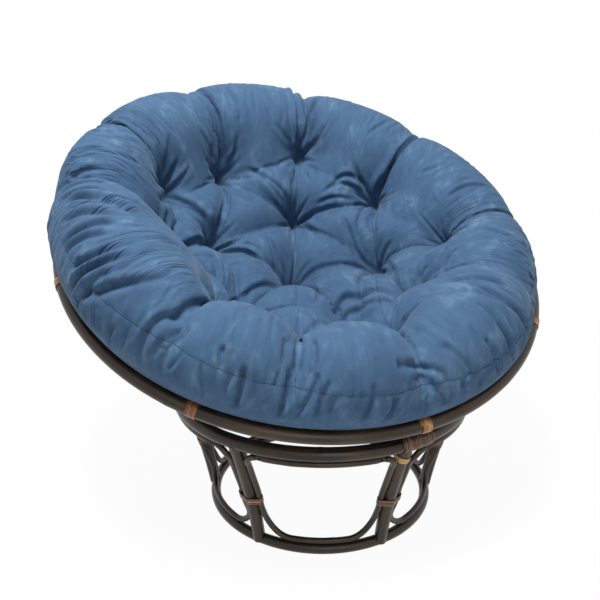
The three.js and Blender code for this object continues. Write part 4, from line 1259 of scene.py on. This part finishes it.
def underside(edge_angle):
    """rows of corners from the lower edge of the cover to the middle of the underside"""
    rows = []
    roll = roll_at(edge_angle)
    for step in np.linspace(COVER_SHARE, 1, 8)[1:]:
        rows.append(spun(belly(np.full_like(edge_angle, eased(step)), roll), edge_angle))
    for theta in BELLY_FOOT * (1 - np.linspace(0, 1, 30)[1:-1]) ** 1.05:
        away, _ = slope_directions(np.full_like(edge_angle, theta))
        wave = UNDER_WAVE * np.sin(RIB_COUNT * edge_angle) * math.sin(theta / BELLY_FOOT * math.pi)
        bulge = (FOOT_SPHERE - PAD_SPHERE) * smooth((theta - SWELL_START) / SWELL_WIDTH)
        rows.append(spun(away * (PAD_SPHERE - UNDER_SINK + bulge - np.abs(wave))[:, None], edge_angle))
    return rows


def make_suede():
    sheen = {"Sheen_Weight": 0.12, "Sheen_Roughness": 0.45, "Sheen_Tint": (0.55, 0.72, 0.95, 1)}
    material, tree, shader = new_material("suede", Specular_IOR_Level=0.25, **sheen)
    cloth = tree.make("ShaderNodeUVMap", uv_map="Cloth")
    nap = use(tree, NAP, {
        "Cloth": cloth, "Lay": attribute(tree, "lay"), "Deep": (0.028, 0.066, 0.132, 1),
        "Mid": (0.048, 0.103, 0.190, 1), "Pale": (0.104, 0.188, 0.288, 1)})
    place = tree.add("ShaderNodeSeparateXYZ", {0: cloth}).outputs
    run = tree.add("ShaderNodeVectorMath", {0: cloth}, operation="LENGTH").outputs["Value"]
    around_edge = tree.times(tree.math("ARCTAN2", place[1], place[0]), SEWN_EDGE)
    lines = [(tree.minus(run, SEWN_EDGE), around_edge)]
    lines += [(tree.minus(place[0], side), place[1]) for side in PANEL_SEAMS]
    mask, ridge = 0.0, 0.0
    for index, (distance, along) in enumerate(lines):
        sewn = use(tree, SEWN_LINE, {"Distance": distance, "Along": along})
        inside = 1.0 if index == 0 else tree.math("LESS_THAN", run, PANEL_END)
        mask = tree.math("MAXIMUM", mask, tree.times(sewn["Mask"], inside))
        ridge = tree.plus(ridge, tree.times(sewn["Height"], inside))
    # Each seam's middle is darkened towards deep blue: painted shade in the seam's groove
    colour = tree.mix(tree.times(mask, 0.55), nap["Color"], (0.020, 0.045, 0.085))
    tree.give(shader, Base_Color=colour, Roughness=nap["Roughness"])
    lay = attribute(tree, "lay")
    crease = tree.noise(lay, 34.0, 3.0, 0.55, 0.5)
    height = tree.plus(tree.times(nap["Height"], 0.30), tree.times(crease, 2.2))
    long_lay = tree.scaled(lay, 1.0, 1.0, 0.22)
    gathered = tree.noise(long_lay, 27.0, 2.5, 0.5, 0.8)
    gathered = tree.ramp(tree.math("ABSOLUTE", tree.minus(gathered, 0.5)), 0.0, 0.11)
    patches = tree.ramp(tree.noise(lay, 7.0, 2.0, 0.5), 0.36, 0.60)
    side = tree.make("ShaderNodeSeparateXYZ", {0: lay})
    sides = tree.math("MAXIMUM", tree.ramp(side, -0.35, -0.80), tree.ramp(side, 0.55, 1.0, 0.0, 0.6))
    on_roll = tree.times(tree.times(tree.ramp(run, 0.40, 0.50), patches),
                        tree.math("MAXIMUM", sides, 0.10))
    height = tree.plus(height, tree.times(tree.times(gathered, on_roll), 4.5))
    bump(tree, shader, tree.plus(height, ridge), 0.75, 0.0010)
    return material


def make_thread():
    material, tree, shader = new_material("thread", Sheen_Weight=0.3)
    place = tree.add("ShaderNodeTexCoord").outputs["Object"]
    twist = tree.noise(place, 900.0, 2.0)
    colour = tree.mix(twist, (0.020, 0.050, 0.10), (0.06, 0.13, 0.22))
    tree.give(shader, Base_Color=colour, Roughness=tree.plus(tree.times(twist, 0.2), 0.6))
    return material


def pad_to_row(points):
    return bowl_to_row(turned(points, PAD_TURN))


def make_pad():
    count, fine = ((181, 441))
    run, angle, flat, cover = stuffed_cover(count)
    cover = swell(run, flat, cover)
    cover = finer(cover, fine)
    run, angle = cloth_grid(fine)
    flat = np.stack([run * np.cos(angle), run * np.sin(angle)], -1)
    hold = smooth((0.99 * COVER_RUN - run) / 0.03)
    cover = clear_of_rim(cover + facing_of(cover) * (fold_depths(flat) * hold)[..., None])
    corner = np.arange(fine * fine).reshape(fine, fine)
    edge = np.concatenate([corner[0, :-1], corner[:-1, -1], corner[-1, :0:-1], corner[:0:-1, 0]])
    edge_angle = angle.reshape(-1)[edge]
    rows = underside(edge_angle)
    points = np.vstack([cover.reshape(-1, 3)] + rows + [np.array([[0, 0, UNDER_SINK - PAD_SPHERE]])])
    size, first = len(edge), fine * fine
    faces = net_faces(fine).tolist()
    last = edge
    for index in range(len(rows)):
        new = first + index * size + np.arange(size)
        faces += np.stack([last, np.roll(last, -1), np.roll(new, -1), new], -1).tolist()
        last = new
    middle = len(points) - 1
    faces += [(int(a), int(b), middle) for a, b in zip(last, np.roll(last, -1))]
    mesh = bpy.data.meshes.new("pad_cover")
    mesh.from_pydata(pad_to_row(points).tolist(), [], faces)
    under_run = COVER_RUN * (1 - np.arange(1, len(rows) + 2) / (len(rows) + 1))
    under = [np.stack([r * np.cos(edge_angle) + 2, r * np.sin(edge_angle)], -1) for r in under_run[:-1]]
    spread = np.vstack([flat.reshape(-1, 2)] + under + [np.array([[2.0, 0.0]])])
    below = [np.full(size, COVER_RUN + 0.02 * (row + 1)) for row in range(len(rows))]
    lay_run = np.concatenate([run.reshape(-1)] + below + [[0]])
    lay_angle = np.concatenate([angle.reshape(-1)] + [edge_angle] * len(rows) + [[0]])
    lay = np.stack([np.cos(lay_angle), np.sin(lay_angle), lay_run * 0.8], -1)
    keep_values(mesh, "lay", lay)
    cloth = mesh.uv_layers.new(name="Cloth")
    corner_point = np.empty(len(mesh.loops), np.int32)
    mesh.loops.foreach_get("vertex_index", corner_point)
    cloth.data.foreach_set("uv", spread[corner_point].astype(np.float32).ravel())
    mesh.shade_smooth()
    mesh.materials.append(make_suede())
    pad = placed_object("pad_cover", mesh)
    dress(pad, "pad", "suede", "cushion")
    facing = facing_of(cover)
    return cover, facing, flat


def make_ties():
    """a crossed loop of thread at the bottom of each tuft"""
    lines = []
    places = pad_cover.reshape(-1, 3)
    flat = pad_flat.reshape(-1, 2)
    for tuft in tuft_places:
        nearest = np.argmin(np.linalg.norm(flat - tuft, axis=-1))
        base, out = places[nearest], pad_facing.reshape(-1, 3)[nearest]
        side = unit(np.cross(out, (0.3, 0.9, 0.2)))
        for turn in (0.6, 2.2):
            way = math.cos(turn) * side + math.sin(turn) * np.cross(out, side)
            share = np.linspace(-1, 1, 9)
            arc = base + np.outer(share * 0.0032, way) + np.outer(0.0016 - 0.0022 * share ** 2, out)
            lines.append(line(pad_to_row(arc), 0.0006))
    ties = grow("tuft_ties", POLE, lines, {
        "Sides": 6, "Knuckle spacing": 1.0, "Knuckle width": 0.001, "Knuckle swell": 0.0, "Finish": thread})
    dress(ties, "pad", "suede")


pad_cover, pad_facing, pad_flat = make_pad()
thread = make_thread()
make_ties()


# Camera, lamps, floor and background

def make_camera():
    """a view through a 38.5 mm lens, looking down a little and from the left of the front"""
    away = math.radians(19.2)
    reach, height, pan, pitch, roll = 1.3133, 0.8427, -0.0337, 0.2905, -0.0033
    ahead = np.array((math.sin(pan) * math.cos(pitch), math.cos(pan) * math.cos(pitch), -math.sin(pitch)))
    right = np.array((math.cos(pan), -math.sin(pan), 0))
    up = np.cross(right, ahead)
    right, up = math.cos(roll) * right + math.sin(roll) * up, math.cos(roll) * up - math.sin(roll) * right
    place = turned((0, -reach, height), -away) + STAND_CENTRE
    right, up, ahead = (turned(way, -away) for way in (right, up, ahead))
    lens = bpy.data.cameras.new("camera")
    lens.lens, lens.sensor_width = 641.95 / 600 * 36, 36
    camera = placed_object("camera", lens)
    camera.matrix_world = Matrix([[right[i], up[i], -ahead[i], place[i]] for i in range(3)] + [[0, 0, 0, 1]])
    bpy.context.scene.camera = camera


def add_lamp(name, place, size, power, target=(0, -0.05, 0.5)):
    light = bpy.data.lights.new(name, "AREA")
    light.size, light.energy = size, power
    lamp = placed_object(name, light)
    lamp.location = place
    lamp.rotation_euler = (Vector(target) - Vector(place)).to_track_quat("-Z", "Y").to_euler()


def plain_ray(tree):
    """one for rays that come from the camera, a mirror or glass"""
    path = tree.add("ShaderNodeLightPath").outputs
    both = tree.math("MAXIMUM", path["Is Camera Ray"], path["Is Glossy Ray"])
    return tree.math("MAXIMUM", both, path["Is Transmission Ray"])


# The soft light from all round, and how bright the floor is under the chair
WORLD_LIGHT, FLOOR_GLOW = 0.13, 0.96


def make_background():
    world = bpy.data.worlds.new("studio")
    bpy.context.scene.world = world
    world.use_nodes = True
    tree = Tree(world.node_tree)
    soft = world.node_tree.nodes["Background"]
    soft.inputs["Color"].default_value = (1, 1, 1, 1)
    soft.inputs["Strength"].default_value = WORLD_LIGHT
    white = tree.add("ShaderNodeBackground", {"Color": (1, 1, 1, 1), "Strength": 1.0})
    mixed = tree.add("ShaderNodeMixShader", {0: plain_ray(tree), 1: soft.outputs[0], 2: white.outputs[0]})
    tree.join(mixed.outputs[0], world.node_tree.nodes["World Output"].inputs["Surface"])
    mesh = bpy.data.meshes.new("floor")
    mesh.from_pydata([(-7, -7, 0), (7, -7, 0), (7, 7, 0), (-7, 7, 0)], [], [(0, 1, 2, 3)])
    floor = placed_object("floor", mesh)
    material, tree, shader = new_material("floor", Base_Color=(0.92, 0.92, 0.92, 1), Roughness=0.9)
    glow = tree.add("ShaderNodeEmission", {"Color": (1, 1, 1, 1), "Strength": 1.0})
    place = tree.add("ShaderNodeTexCoord").outputs["Object"]
    away = tree.add("ShaderNodeVectorMath", {0: place}, operation="LENGTH").outputs["Value"]
    spread = {"Value": away, "From Min": 0.55, "From Max": 1.7, "To Min": FLOOR_GLOW, "To Max": 1.0}
    far = tree.make("ShaderNodeMapRange", spread)
    share = tree.times(plain_ray(tree), far)
    mixed = tree.add("ShaderNodeMixShader", {0: share, 1: shader.outputs[0], 2: glow.outputs[0]})
    tree.join(mixed.outputs[0], material.node_tree.nodes["Material Output"].inputs["Surface"])
    mesh.materials.append(material)


make_camera()
add_lamp("main_lamp", (-0.5, -0.7, 2.7), 0.7, 80)
add_lamp("fill_lamp", (-0.3, -2.4, 1.3), 1.2, 9)
add_lamp("back_lamp", (0.2, 1.5, 2.5), 1.5, 12)
make_background()
bpy.context.scene.view_settings.view_transform = "Standard"
